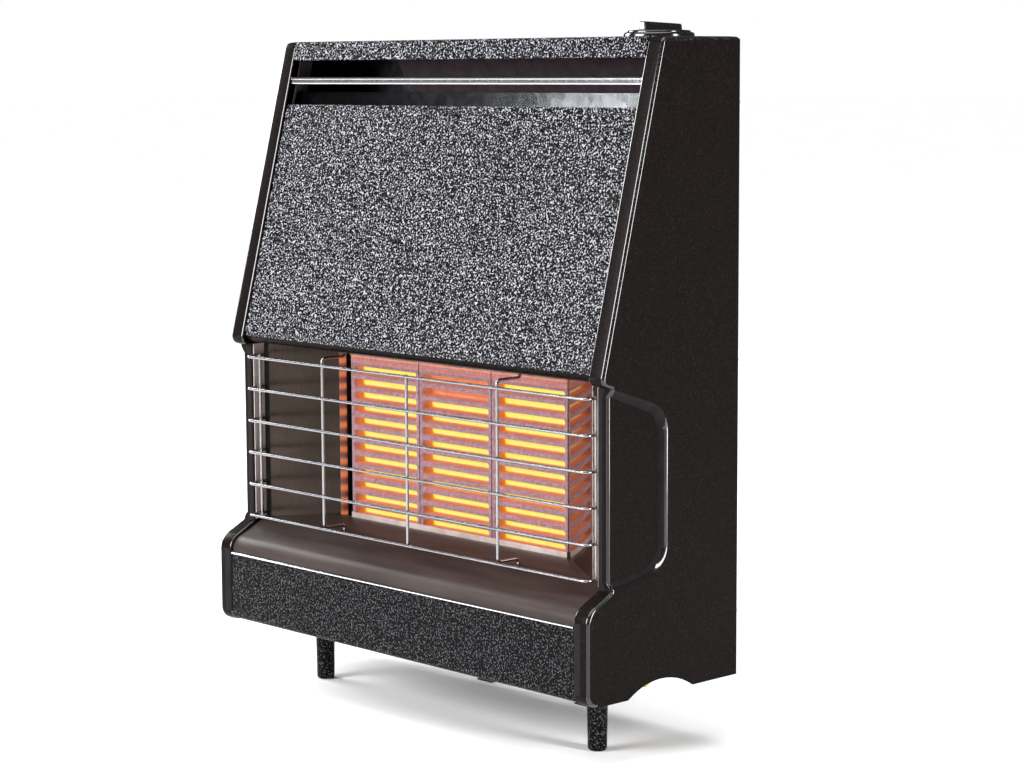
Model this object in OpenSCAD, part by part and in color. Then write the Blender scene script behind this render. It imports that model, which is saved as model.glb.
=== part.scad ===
// Outset radiant and convector gas fire. A black hammered-steel case with a sloping canopy
// stands on two front feet and two legs of its back panel. Behind a wrap-round wire guard,
// three ladder-shaped ceramic radiants stand in a polished reflector over a bar burner. A
// heat exchanger above them leads to an oblong flue spigot at the back, and warm air leaves
// by a louvre under the top. A push-and-turn knob on the top works the gas tap.
// Frame: X to the right as seen from the front, Y towards the wall, Z up. The origin is in
// the middle of the whole fire's footprint, on the hearth. All sizes are in millimetres.

/* [Case] */
// Width of the case
case_w = 540; // [500:5:600]
// Depth of the case, from the plinth's face to the back panel
case_d = 200; // [190:1:230]
// Height of the case above its own lower edge
case_h = 596; // [570:2:650]
// Depth of the flat top
top_d = 103; // [90:1:115]
// Thickness of the outer sheet steel
sheet = 1.2; // [0.8:0.1:1.5]
// Width of the rounded border along the front edges of the sides
bead_w = 19; // [14:0.5:24]
// Thickness of that border, front to back
bead_t = 5; // [3:0.5:6]
// Radius of the case's upper corners, seen from the front
corner_r = 10; // [4:1:14]
// Radius of the border's lower corners, seen from the front
low_corner_r = 13; // [5:1:16]

/* [Canopy and louvre] */
// Height of the canopy's lower edge above the case's lower edge
canopy_h = 289; // [286:1:300]
// How far the canopy's lower edge lies behind the plinth's face
canopy_in = 18; // [12:1:24]
// How far the canopy's front panel lies behind the border
canopy_recess = 3; // [1:0.5:5]
// Radius of the canopy's rolled lower edge
canopy_roll_r = 11; // [6:1:13]
// Depth of the canopy's folded underside
canopy_under = 26; // [20:1:28]
// Height of the strip above the louvre
header_h = 19; // [14:1:24]
// Height of the louvre, between the strip and the canopy's front panel
louvre_h = 45; // [40:1:52]
// Height of the bright louvre bar
louvre_bar_h = 7.5; // [5:0.5:10]
// Depth of the bright louvre bar
louvre_bar_t = 6; // [4:0.5:9]
// Height of the bright blade behind the louvre's lower edge
louvre_blade_h = 13; // [9:0.5:16]

/* [Plinth and fender] */
// Height of the plinth's front panel
plinth_h = 71; // [60:1:76]
// Height of the bright strip between the plinth and the fender
trim_h = 2; // [1:0.5:3]
// Height at which the side's front edge and its sloping step would meet
step_h = 86; // [82:1:92]
// Radius of the rounding between them
step_r = 19; // [10:1:22]
// Height of the fender where the radiants stand
hearth_h = 111; // [108:0.5:113]
// Thickness of the fender's and reflector's sheet
inner_sheet = 1; // [0.7:0.1:1.4]

/* [Side recess] */
// How far the side's front edge lies behind the plinth's face at the fire opening
opening_in = 31; // [27:1:36]
// How far the recess in the side reaches back from the plinth's face
recess_back = 104.5; // [90:0.5:120]
// Depth of the recess
recess_t = 5.5; // [3:0.5:8]
// Radius of the recess's rear corners
recess_r = 28; // [15:1:35]

/* [Guard] */
// Diameter of the guard's wire
wire_d = 3; // [2:0.25:4]
// Gap between the case's inner side and the middle of the guard's end returns
guard_side = 4; // [3:0.5:12]
// How far the guard's front wires lie behind the plinth's face
guard_in = 22; // [18:0.5:26]
// Depth of the guard's end returns
guard_return = 25; // [18:1:27]
// Number of horizontal wires
bar_count = 6; // [4:1:7]
// How far the top wire lies below the canopy's lower edge
guard_drop = 14; // [13:1:30]
// Spacing of the three middle uprights
upright_pitch = 127.5; // [100:0.5:140]

/* [Radiants] */
// Width of the reflector's side, between the case's inner side and the radiants
cheek_w = 93.8; // [91:0.2:112]
// How far the radiants' tops lie below the canopy's lower edge
radiant_drop = 3.5; // [3:0.5:24]
// Depth of one radiant, front to back
radiant_t = 28; // [25:1:30]
// Spacing of the ribs across a radiant
rib_pitch = 13; // [10:0.5:18]
// Height of one rib
rib_h = 6; // [4:0.25:7]
// How far the radiants' front faces lie behind the plinth's face
radiant_in = 87; // [84:1:92]

/* [Flue and heat exchanger] */
// Width of the flue spigot
spigot_w = 150; // [120:1:180]
// Height of the flue spigot
spigot_h = 56; // [40:1:64]
// How far the spigot sticks out behind the back panel
spigot_out = 30; // [15:1:60]
// Height of the spigot's middle above the heat exchanger's lower edge
spigot_rise = 59.5; // [50:0.5:110]
// Space between the heat exchanger and the case's top
exchanger_room = 100.5; // [96:0.5:125]
// How much narrower the heat exchanger is than the firebox, on each side
exchanger_side = 21.2; // [12:0.2:40]

/* [Feet] */
// Height of the case's lower edge above the hearth
foot_h = 65; // [45:1:90]
// Diameter of a front foot
foot_w = 21; // [16:1:26]
// Distance from the case's side to a front foot's middle
foot_side = 70; // [55:1:110]
// Distance from the case's back to a front foot's middle
foot_back = 117; // [108:1:122]

/* [Controls] */
// Distance from the case's right side to the knob's middle
knob_side = 53; // [45:1:60]
// Distance from the back panel to the knob's middle
knob_back = 53; // [50:1:56]
// Diameter of the bezel round the knob
dial_w = 65; // [62:1:70]
// Diameter of the knob's skirt
knob_w = 58; // [50:1:60]
// Length of the knob's grip
grip_l = 50; // [34:1:50]
// Thickness of the knob's grip
grip_t = 7; // [5:0.5:12]
// How far the knob can be pushed in
knob_travel = 3; // [2:0.5:3.5]
// Outer diameter of the gas pipes
pipe_d = 8; // [6:0.5:10]

/* [Hidden] */
// One rule for what is cut right through, and the gaps between separate pieces
overrun = 1;
gap = 0.3;
run_fit = 0.05;
// Fineness of round shapes
$fn = 48;
arc_steps = 6;

// Places that several pieces share
half_w = case_w / 2;
inner_half = half_w - bead_w;
top_front = case_d - top_d;
front_y = -(case_d + spigot_out) / 2;
back_in = case_d - sheet;
louvre_top = case_h - header_h;
louvre_low = louvre_top - louvre_h;
canopy_slope = (top_front - canopy_in) / (case_h - canopy_h);
step_slope = 0.515;
opening_low = step_h + step_slope * opening_in;
lip_slope = 0.298;
opening_top = canopy_h - lip_slope * (opening_in - canopy_in);
skin_in = half_w - sheet;
foot_x = half_w - foot_side;
foot_in = case_d - foot_back;

// Side panels: the arch at the bottom, the recess and the small roundings
back_corner_r = 3;
top_front_r = 6;
canopy_corner_r = 8;
back_flange = 12;
arch_mid = 95;
arch_half = 43;
arch_h = 13;
arch_r = (arch_half * arch_half + arch_h * arch_h) / (2 * arch_h);
recess_wall = 8;
recess_top_drop = 0.298;
recess_low_rise = 0.13;

// Top panel, canopy, louvre
fold = 8;
roll_r = 2;
header_r = 4;
louvre_bar_drop = 17;
louvre_bar_in = 1;
louvre_groove = 1.6;
louvre_groove_t = 1;
blade_in = 11;
blade_lean = 4;
liner_in = louvre_bar_in + louvre_bar_t + canopy_slope * louvre_bar_h + gap;
liner_d = 16;
deflector_low = 60;
deflector_in = 36;

// Plinth, trim and fender
plinth_in = 1.5;
plinth_low = 3;
plinth_roll_r = 6;
plinth_fold = 10;
trim_t = 1.8;
trim_in = 0.6;
fender_in = 3;
fender_front_rise = 13.5;
fender_front_h = plinth_h + fender_front_rise;
fender_front_r = 16;
fender_mid = 48;
fender_rise = 5;
fender_mid_h = hearth_h - fender_rise;
fender_mid_r = 30;
hearth_in = 80;
hearth_r = 12;
fender_slope = (hearth_h - fender_mid_h) / (hearth_in - fender_mid);
hook_hole_r = 2.6;
hook_in = 51;

// Guard
wire_r = wire_d / 2;
guard_half = inner_half - guard_side;
guard_sink = 1;
guard_low = hearth_h - guard_sink;
bar_pitch = (canopy_h - guard_drop - guard_low) / (bar_count - 1);
guard_bend = 6;
hook_bend = 4;
hook_drop = 8;
top_hook_in = 30;
top_hook_rise = 7;
top_hook_end = 18;
end_upright_in = 15;
weld = 0.25;

// Radiants and what holds them
radiant_gap = 1.2;
radiant_side = 4;
radiant_foot = 8.5;
radiant_back_t = 7;
lattice_t = 9;
slot_side = 5;
ladder_low = 2;
ladder_high = 12.6;
flue_port_h = 20;
chamber_t = radiant_t - lattice_t - radiant_back_t;
chamber_mid = radiant_in + lattice_t + chamber_t / 2;
radiants_half = inner_half - cheek_w;
radiant_w = (2 * radiants_half - 2 * radiant_gap) / 3;
radiant_pitch = radiant_w + radiant_gap;
ledge_t = 1.5;
ledge_lip = 4;
radiant_low = hearth_h + ledge_t;
radiant_top = canopy_h - radiant_drop;
radiant_h = radiant_top - radiant_low;
radiant_back = radiant_in + radiant_t;
radiant_clear = 3;
firebox_in = radiant_back + radiant_clear;
retainer_lip = 7;
retainer_low = radiant_top + gap;

// Reflector
cheek_gap = 6.3;
cheek_bend = 12;
cheek_corner = 92;
cheek_in = guard_in + guard_return + inner_sheet;
cheek_side = 8.5;
cheek_end = inner_half - gap;
cheek_half = cheek_end - cheek_side;
hood_in = 36;
hood_flat = 14;
hood_low = retainer_low + ledge_t;
hood_high = canopy_h + sheet + gap;

// Firebox, insulation and burner
firebox_side = 14;
firebox_half = radiants_half + firebox_side;
firebox_share = 0.52;
firebox_back = firebox_in + firebox_share * (back_in - firebox_in);
tray_h = 27;
firebox_low = hearth_h - tray_h;
firebox_top = hood_high;
tray_in = radiant_in + inner_sheet;
board_t = 12;
burner_side = 7.2;
burner_half = radiants_half - burner_side;
burner_d = 20;
burner_h = 16;
burner_wall = 1;
burner_in = chamber_mid - burner_d / 2;
burner_leg_h = 6;
burner_low = firebox_low + burner_leg_h;
burner_mid_h = burner_low + burner_h / 2;
port_w = 2;
port_l = chamber_t;
port_pitch = 10;
leg_w = 14;
mixer_r = 7.5;
mixer_wall = 1;
mixer_out = 16;
mixer_end = firebox_half + mixer_out;
injector_r = 6;
injector_l = 16;
injector_tip_r = 3;
injector_bore = 1;
injector_end = mixer_end + overrun + injector_l;

// Heat exchanger and flue
exchanger_half = firebox_half - exchanger_side;
exchanger_w = 2 * exchanger_half;
exchanger_low = firebox_top;
exchanger_h = case_h - exchanger_room - exchanger_low;
exchanger_back = firebox_back;
spigot_z = exchanger_low + spigot_rise;
baffle_share = 0.525;
baffle_in = firebox_in + baffle_share * (exchanger_back - firebox_in);
baffle_low = 12;
baffle_gap = 28;
spigot_wall = 1.2;
flange_w = 12;
gasket_t = 2;
duct_gap = 1;

// Brackets between the firebox and the back panel
bracket_w = 20;
bracket_t = 2;
bracket_side = 20;
bracket_x = exchanger_half - bracket_side;
bracket_flange = 16;
bracket_heights = [firebox_low + bracket_flange, exchanger_low + exchanger_h - bracket_flange];

// Back panel and its legs
panel_in = back_in - gap - sheet;
panel_half = skin_in - gap;
panel_low = 2;
fixing_r = 3;
fixing_side = 40;
fixing_x = half_w - fixing_side;
fixing_low = 50;
fixing_drop = 96;
fixing_high = case_h - fixing_drop;
leg_x = 72;
rear_leg_w = 22;
rear_leg_foot = 8;

// Rail that carries the front feet
rail_low = 16;
rail_d = 44;
rail_flange = 12;
stud_r = 4;
stud_l = 34;
stud_hole_r = 5;
nut_af = 13;
nut_h = 6.5;
foot_drop = 8;
foot_edge_r = 3;
foot_bottom_share = 0.86;

// Gas tap and knob
knob_x = half_w - knob_side;
knob_in = case_d - knob_back;
tap_r = 14;
tap_h = 42;
tap_drop = 36;
tap_top = case_h - tap_drop;
tap_plate_t = 2;
tap_plate_half = 40;
tap_plate_front = 18;
tap_plate_lip = 14;
tap_low = tap_top - tap_h;
tap_mid = tap_low + tap_h / 2;
spindle_r = 4;
spindle_in = 18;
spindle_hole_r = 6;
cam_r = 10;
cam_h = 10;
cam_low = tap_top + tap_plate_t + gap;
spring_low = cam_low + cam_h + gap;
spring_r = 7;
spring_wall = 1.4;
collar_r = 8;
collar_h = 2;
collar_drop = 3;
collar_low = case_h - sheet - collar_drop - collar_h;
dial_h = 4;
dial_r = 2.5;
dial_floor = 0.8;
dial_clear = 0.5;
knob_gap = dial_floor + knob_travel + gap;
skirt_h = 2.2;
skirt_r = 1;
grip_h = 9.7;
grip_back_h = 7.8;
grip_offset = 2;
grip_r = 2;
knob_low = case_h + knob_gap;
piezo_r = 9;
piezo_h = 44;
piezo_side = 27;
piezo_behind = 20;
piezo_in = knob_in + piezo_behind;

// Pipes and leads
pipe_r = pipe_d / 2;
pipe_bend = 15;
feed_bend = 7.5;
feed_out = 20;
feed_drop = 28;
feed_low = firebox_low - feed_drop;
pilot_pipe_r = 2;
pilot_bend = 6;
pilot_side = 22;
pilot_lane = knob_x - pilot_side;
pilot_lane_drop = 14;
pilot_lane_h = firebox_low - pilot_lane_drop;
pilot_entry = 10;
thermo_r = 1.3;
thermo_lane_drop = 24;
thermo_lane_h = firebox_low - thermo_lane_drop;
thermo_entry = 8;
lead_r = 1.6;
lead_bend = 8;
lead_lane_drop = 18;
lead_lane_h = firebox_low - lead_lane_drop;
inlet_before = 39;
inlet_in = knob_in - inlet_before;
inlet_z = 5.5;
elbow_w = 21;
elbow_d = 20;
elbow_drop = 5;
inlet_nut_af = 15;
inlet_nut_l = 11;
socket_l = 8;
screw_r = 5;
screw_l = 8;
screw_side = 6;
slot_w = 1.4;
slot_t = 2;
screw_x = knob_x - elbow_w / 2 + screw_side;
pipe_nut_af = 14;
pipe_nut_h = 9;

// Pilot group
pilot_out = 10;
pilot_x = burner_half + pilot_out;
pilot_drop = 4;
pilot_low = firebox_low - pilot_drop;
pilot_r = 4;
pilot_h = 20;
pilot_in = chamber_mid;
electrode_r = 2.5;
pilot_step = 8;
electrode_in = pilot_in + pilot_step;
electrode_h = 22;
electrode_tip_h = 5;
electrode_tip_r = 0.8;
probe_r = 2;
probe_in = pilot_in - pilot_step;
probe_h = 24;
pilot_plate_rise = 9;
pilot_plate_h = firebox_low + pilot_plate_rise;
pilot_plate_t = 1.2;
pilot_plate_half = 12;

// Small screws
screw_head_r = 3.5;
screw_head_h = 2;
screw_shank_r = 1.5;
case_screw_side = 6;
case_screw_end = 60;
case_screw_heights = [case_screw_end, case_h / 2, case_h - case_screw_end];

// Outline helpers: each corner is [across, up, radius]
function unit(v) = v / norm(v);
function turn(a) = a > 180 ? a - 360 : a < -180 ? a + 360 : a;
function corner(p, c, n) =
    let(here = [c.x, c.y])
    c.z == 0 ? [here] :
    let(u = unit([p.x, p.y] - here), v = unit([n.x, n.y] - here),
        half = acos(u * v) / 2, mid = here + unit(u + v) * c.z / sin(half),
        from = here + u * c.z / tan(half) - mid, to = here + v * c.z / tan(half) - mid,
        start = atan2(from.y, from.x), step = turn(atan2(to.y, to.x) - start) / arc_steps)
    [for (k = [0:arc_steps]) mid + c.z * [cos(start + step * k), sin(start + step * k)]];
function closed(c) = [
    for (i = [0:len(c) - 1]) each corner(c[(i + len(c) - 1) % len(c)], c[i], c[(i + 1) % len(c)])
];
function opened(c) = [
    for (i = [0:len(c) - 1])
        each (i == 0 || i == len(c) - 1 ? [[c[i].x, c[i].y]] : corner(c[i - 1], c[i], c[i + 1]))
];
function left_of(v) = [-v.y, v.x];
function offset_line(p, t) = [
    for (i = [0:len(p) - 1])
        let(a = left_of(unit(i == 0 ? p[1] - p[0] : p[i] - p[i - 1])),
            b = left_of(unit(i == len(p) - 1 ? p[i] - p[i - 1] : p[i + 1] - p[i])),
            m = unit(a + b))
        p[i] + m * t / (m * a)
];
function back_to_front(p) = [for (i = [len(p) - 1:-1:0]) p[i]];
// A bent sheet's outline: a line of corners, thickened to its left by t
function bent(c, t) = let(p = opened(c)) concat(p, back_to_front(offset_line(p, t)));
function face_in(z) = canopy_in + canopy_slope * (z - canopy_h);

// Everything below is drawn with Y from the plinth's face and Z from the case's lower edge
module in_case() translate([0, front_y, foot_h]) children();
// An outline in Y and Z, drawn out along X
module along_x(x, length) translate([x, 0, 0]) rotate([90, 0, 90]) linear_extrude(height = length) children();
// An outline in X and Z, drawn out along Y
module along_y(y, length) translate([0, y + length, 0]) rotate([90, 0, 0])
    linear_extrude(height = length) children();
module both_sides() {
    children();
    mirror([1, 0, 0]) children();
}
module box(x, y, z, w, d, h) translate([x, y, z]) cube([w, d, h]);
module rod_z(x, y, z, h, r) translate([x, y, z]) cylinder(h = h, r = r);
module rod_y(x, y, z, h, r) translate([x, y, z]) rotate([-90, 0, 0]) cylinder(h = h, r = r);
module rod_x(x, y, z, h, r) translate([x, y, z]) rotate([0, 90, 0]) cylinder(h = h, r = r);
module hex_z(x, y, z, h, across) translate([x, y, z]) cylinder(h = h, r = across / 2 / cos(30), $fn = 6);
module hex_x(x, y, z, h, across) translate([x, y, z]) rotate([0, 90, 0])
    cylinder(h = h, r = across / 2 / cos(30), $fn = 6);
module oblong(w, h) {
    square([w - h, h], center = true);
    for (s = [-1, 1]) translate([s * (w - h) / 2, 0]) circle(d = h);
}

// A round wire or pipe along straight runs, with the same bend at every corner
module wire(points, bend, r) {
    last = len(points) - 1;
    function way(i) = unit(points[i + 1] - points[i]);
    function trim_at(i) = i == 0 || i == last ? 0 : bend * tan(acos(way(i - 1) * way(i)) / 2);
    for (i = [0:last - 1]) {
        u = way(i);
        e = abs(u.z) < 0.9 ? [0, 0, 1] : [1, 0, 0];
        a = unit(cross(e, u));
        b = cross(u, a);
        s = points[i] + u * trim_at(i);
        multmatrix([[a.x, b.x, u.x, s.x], [a.y, b.y, u.y, s.y], [a.z, b.z, u.z, s.z], [0, 0, 0, 1]])
            cylinder(h = norm(points[i + 1] - points[i]) - trim_at(i) - trim_at(i + 1), r = r, $fn = 24);
    }
    if (last > 1) for (i = [1:last - 1]) {
        u = way(i - 1);
        v = way(i);
        n = unit(cross(u, v));
        s = points[i] - u * trim_at(i);
        out = -unit(cross(n, u));
        c = s - out * bend;
        multmatrix([[out.x, u.x, n.x, c.x], [out.y, u.y, n.y, c.y], [out.z, u.z, n.z, c.z], [0, 0, 0, 1]])
            rotate_extrude(angle = acos(u * v), $fn = 48) translate([bend, 0]) circle(r = r, $fn = 24);
    }
}

// The side as seen from the right: its outer outline and the outline of the space inside it
module side_outline() polygon(closed([
    [0, 0, 0], [case_d, 0, 0], [case_d, case_h, back_corner_r], [top_front, case_h, top_front_r],
    [canopy_in, canopy_h, canopy_corner_r], [opening_in, opening_top, 0], [opening_in, opening_low, 0],
    [0, step_h, step_r]
]));
module side_space() {
    wall = bead_t;
    polygon(closed([
        [wall, -overrun, 0], [back_in, -overrun, 0], [back_in, case_h - sheet, back_corner_r],
        [top_front + wall, case_h - sheet, top_front_r],
        [canopy_in + wall, canopy_h + wall, 0], [opening_in + wall, opening_top + wall, 0],
        [opening_in + wall, opening_low - wall, 0], [wall, step_h - wall, step_r - wall]
    ]));
}
// The recess's outline, taken in by an amount at the top, the back and the bottom
function recess_corners(inset) =
    let(far = recess_back - inset, run = recess_back - opening_in)
    [
        [opening_in - overrun, opening_top - inset, 0],
        [far, opening_top - recess_top_drop * run - inset, recess_r - inset / 2],
        [far, opening_low + recess_low_rise * run + inset, recess_r - inset / 2],
        [opening_in - overrun, opening_low + inset, 0]
    ];
module recess_shape(shift) {
    hull() {
        along_x(half_w - shift, overrun) polygon(closed(recess_corners(0)));
        along_x(half_w - recess_t - shift, overrun) polygon(closed(recess_corners(recess_wall)));
    }
}
// What the upper corner's rounding leaves, seen from the front
module corner_outline(w, h, r) polygon(closed([[0, -overrun, 0], [w, -overrun, 0], [w, h, r], [0, h, 0]]));
// The sharp part of a lower outer corner that a radius takes off
module corner_waste(x, z, r) difference() {
    translate([x - r, z - overrun]) square([r + overrun, r + overrun]);
    translate([x - r, z + r]) circle(r = r);
}
module case_screw_places() for (z = case_screw_heights) translate([half_w - case_screw_side, 0, z]) children();
module side_panel() difference() {
    union() {
        intersection() {
            difference() {
                along_x(inner_half, bead_w) side_outline();
                intersection() {
                    along_x(inner_half - overrun, bead_w - sheet + overrun) side_space();
                    along_y(0, case_d) corner_outline(skin_in, case_h - sheet, corner_r - sheet);
                }
            }
            along_y(-overrun, case_d + 2 * overrun) corner_outline(half_w, case_h, corner_r);
        }
        intersection() {
            recess_shape(sheet);
            along_x(inner_half, bead_w) side_outline();
        }
    }
    recess_shape(0);
    rod_x(inner_half - overrun, arch_mid, arch_h - arch_r, bead_w + 2 * overrun, arch_r);
    along_y(-overrun, bead_t + overrun) corner_waste(half_w, 0, low_corner_r);
    along_y(0, opening_in) corner_waste(half_w, canopy_h, low_corner_r);
    box(inner_half - overrun, back_in, -overrun, bead_w - back_flange + overrun, sheet + overrun,
        case_h - sheet + overrun);
    case_screw_places() rod_y(0, back_in - overrun, 0, sheet + 2 * overrun, screw_shank_r + run_fit);
}
module side_panel_right() color("#242222") in_case() side_panel();
module side_panel_left() color("#242222") in_case() mirror([1, 0, 0]) side_panel();

// Flat top with the hammered strip above the louvre
module top_panel() color("#2a2828") in_case() difference() {
    along_x(-inner_half + gap, 2 * (inner_half - gap)) polygon(bent([
        [case_d, case_h - sheet - fold, 0], [case_d, case_h, back_corner_r],
        [top_front, case_h, header_r], [face_in(louvre_top), louvre_top, roll_r],
        [face_in(louvre_top) + fold, louvre_top, 0]
    ], sheet));
    rod_z(knob_x, knob_in, case_h - 2 * sheet, 3 * sheet, spindle_hole_r);
}

// Sloping hammered front, rolled under at the bottom
module canopy_panel() color("#3a3838") in_case()
    along_x(-inner_half + gap, 2 * (inner_half - gap)) polygon(bent([
        [face_in(louvre_low) + canopy_recess + fold, louvre_low, 0],
        [face_in(louvre_low) + canopy_recess, louvre_low, roll_r],
        [canopy_in + canopy_recess, canopy_h, canopy_roll_r],
        [canopy_in + canopy_recess + canopy_under, canopy_h, 0]
    ], sheet));

// Black plates that close the louvre's two ends
module louvre_liner() color("#101010") in_case() both_sides() along_x(inner_half - gap - sheet, sheet) polygon([
    [face_in(louvre_low) + liner_in, louvre_low + gap],
    [face_in(louvre_low) + liner_in + liner_d, louvre_low + gap],
    [face_in(louvre_top) + liner_in + liner_d, louvre_top - gap],
    [face_in(louvre_top) + liner_in, louvre_top - gap]
]);
module louvre_bar() color("#e8e8e8") in_case() {
    z = louvre_top - louvre_bar_drop;
    y = face_in(z) + louvre_bar_in;
    difference() {
        box(-inner_half + gap, y, z - louvre_bar_h, 2 * (inner_half - gap), louvre_bar_t, louvre_bar_h);
        box(-inner_half, y - overrun, z - (louvre_bar_h + louvre_groove) / 2, 2 * inner_half,
            louvre_groove_t + overrun, louvre_groove);
    }
}
module louvre_blade() color("#c8c8c8") in_case() {
    y = face_in(louvre_low) + blade_in;
    half = inner_half - 2 * gap - sheet;
    along_x(-half, 2 * half) polygon([
        [y, louvre_low], [y + sheet, louvre_low],
        [y + sheet + blade_lean, louvre_low + louvre_blade_h], [y + blade_lean, louvre_low + louvre_blade_h]
    ]);
}
// Plate that turns the warm air forward to the louvre
module air_deflector() color("#55565a") in_case() {
    half = knob_x - tap_plate_half - overrun;
    along_x(-half, 2 * half) polygon(bent([
        [panel_in, case_h - deflector_low - fold, 0], [panel_in, case_h - deflector_low, roll_r],
        [case_d - deflector_in, case_h - sheet - fold, roll_r], [top_front + fold, case_h - sheet - gap, 0]
    ], inner_sheet));
}

module plinth_panel() color("#2c2a2b") in_case()
    along_x(-inner_half + gap, 2 * (inner_half - gap)) polygon(bent([
        [plinth_in + plinth_fold, plinth_h, 0], [plinth_in, plinth_h, roll_r],
        [plinth_in, plinth_low, plinth_roll_r], [plinth_in + plinth_fold + plinth_roll_r, plinth_low, 0]
    ], sheet));
module plinth_trim() color("#e8e8e8") in_case()
    box(-inner_half + gap, trim_in, plinth_h, 2 * (inner_half - gap), trim_t, trim_h);
// Curved brown fender, seated on the plinth's top fold
module fender() color("#4a3f3b") in_case() difference() {
    along_x(-inner_half + gap, 2 * (inner_half - gap)) polygon(bent([
        [fender_in, plinth_h, 0], [fender_in, fender_front_h, fender_front_r],
        [fender_mid, fender_mid_h, fender_mid_r], [hearth_in, hearth_h, hearth_r],
        [tray_in - gap, hearth_h, 0]
    ], -inner_sheet));
    for (s = [-1, 1])
        rod_z(s * upright_pitch, hook_in, fender_mid_h - 6 * inner_sheet, 12 * inner_sheet, hook_hole_r);
}

// Horizontal wires of the guard, each bent back at both ends
module guard_bars() color("#8c8c8e") in_case() for (i = [0:bar_count - 1]) {
    z = guard_low + bar_pitch * i;
    far = guard_in + guard_return;
    wire([
        [-guard_half, far, z], [-guard_half, guard_in, z], [guard_half, guard_in, z], [guard_half, far, z]
    ], guard_bend, wire_r);
}
// Upright wires: two hooked into the fender and the hood, one plain, one at each end
module guard_uprights() color("#8c8c8e") in_case() {
    low = guard_low;
    high = guard_low + bar_pitch * (bar_count - 1);
    behind = guard_in + wire_d - weld;
    beside = guard_half - wire_d + weld;
    for (s = [-1, 1]) {
        wire([
            [s * upright_pitch, hook_in, low - hook_drop], [s * upright_pitch, hook_in, low + wire_r],
            [s * upright_pitch, behind, low + wire_r], [s * upright_pitch, behind, high + top_hook_rise],
            [s * upright_pitch, behind + top_hook_in, high + top_hook_rise],
            [s * upright_pitch, behind + top_hook_in, high + top_hook_end]
        ], hook_bend, wire_r);
        rod_z(s * beside, guard_in + end_upright_in, low - wire_r, high - low + wire_d, wire_r, $fn = 24);
    }
    rod_z(0, behind, low - wire_r, high - low + wire_d, wire_r, $fn = 24);
}

// Back panel with the wall fixings, the flue hole and two turned legs
module back_panel() color("#8f9296") in_case() difference() {
    union() {
        intersection() {
            box(-panel_half, panel_in, panel_low, 2 * panel_half, sheet, case_h);
            both_sides() along_y(panel_in, sheet)
                corner_outline(panel_half, case_h - back_corner_r, corner_r - back_corner_r);
        }
        for (s = [-1, 1]) {
            box(s * leg_x - rear_leg_w / 2, panel_in, -foot_h, rear_leg_w, sheet, foot_h + panel_low);
            box(s * leg_x - rear_leg_w / 2, panel_in + sheet - rear_leg_foot, -foot_h, rear_leg_w,
                rear_leg_foot, sheet);
        }
    }
    for (s = [-1, 1], z = [fixing_low, fixing_high])
        rod_y(s * fixing_x, panel_in - overrun, z, sheet + 2 * overrun, fixing_r);
    both_sides() case_screw_places()
        rod_y(0, panel_in - overrun, 0, sheet + 2 * overrun, screw_shank_r + run_fit);
    translate([0, 0, spigot_z]) along_y(panel_in - overrun, sheet + 2 * overrun)
        oblong(spigot_w + 2 * duct_gap, spigot_h + 2 * duct_gap);
}

// Cross rail with two captive nuts for the front feet
module foot_rail() color("#8f9296") in_case() difference() {
    along_x(-skin_in + gap, 2 * (skin_in - gap)) polygon(bent([
        [foot_in - rail_d / 2, rail_low + rail_flange, 0], [foot_in - rail_d / 2, rail_low, 0],
        [foot_in + rail_d / 2, rail_low, 0], [foot_in + rail_d / 2, rail_low + rail_flange, 0]
    ], sheet));
    for (s = [-1, 1]) rod_z(s * foot_x, foot_in, rail_low - overrun, sheet + 2 * overrun, stud_hole_r);
}
module foot_nuts() color("#c9b26a") in_case() for (s = [-1, 1]) difference() {
    hex_z(s * foot_x, foot_in, rail_low + sheet, nut_h, nut_af);
    rod_z(s * foot_x, foot_in, rail_low, nut_h + 2 * overrun, stud_r + run_fit);
}
module foot(side) color("#2c2a2b") in_case() translate([side * foot_x, foot_in, -foot_h]) {
    body = foot_h + rail_low - foot_drop;
    r = foot_w / 2;
    rotate_extrude() polygon(closed([
        [0, 0, 0], [r * foot_bottom_share, 0, foot_edge_r], [r, body, foot_edge_r / 2], [0, body, 0]
    ]));
    rod_z(0, 0, body - overrun, stud_l + overrun, stud_r);
}

// A ceramic radiant: a ladder of ribs before a flame chamber, with a flue port high in its back
module radiant(place) color("#f0a050") in_case() {
    x = place * radiant_pitch - radiant_w / 2;
    inner_h = radiant_h - ladder_low - ladder_high;
    slots = round(inner_h / rib_pitch);
    step = inner_h / slots;
    difference() {
        box(x, radiant_in, radiant_low, radiant_w, radiant_t, radiant_h);
        box(x + radiant_side, radiant_in + lattice_t, radiant_low - overrun, radiant_w - 2 * radiant_side,
            chamber_t, radiant_h - radiant_foot + overrun);
        for (i = [0:slots - 1])
            box(x + slot_side, radiant_in - overrun, radiant_low + ladder_low + i * step + rib_h / 2,
                radiant_w - 2 * slot_side, lattice_t + 2 * overrun, step - rib_h);
        box(x + radiant_side, radiant_back - radiant_back_t - overrun,
            radiant_top - radiant_foot - flue_port_h, radiant_w - 2 * radiant_side,
            radiant_back_t + 2 * overrun, flue_port_h);
    }
}
module radiant_ledge() color("#77797c") in_case() difference() {
    front = radiant_in - ledge_t;
    union() {
        box(-radiants_half, front, hearth_h, 2 * radiants_half, firebox_in - front, ledge_t);
        box(-radiants_half, front, hearth_h, 2 * radiants_half, ledge_t - gap, ledge_t + ledge_lip);
    }
    box(-burner_half, chamber_mid - chamber_t / 2, hearth_h - overrun, 2 * burner_half, chamber_t,
        ledge_t + 2 * overrun);
}
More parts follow.
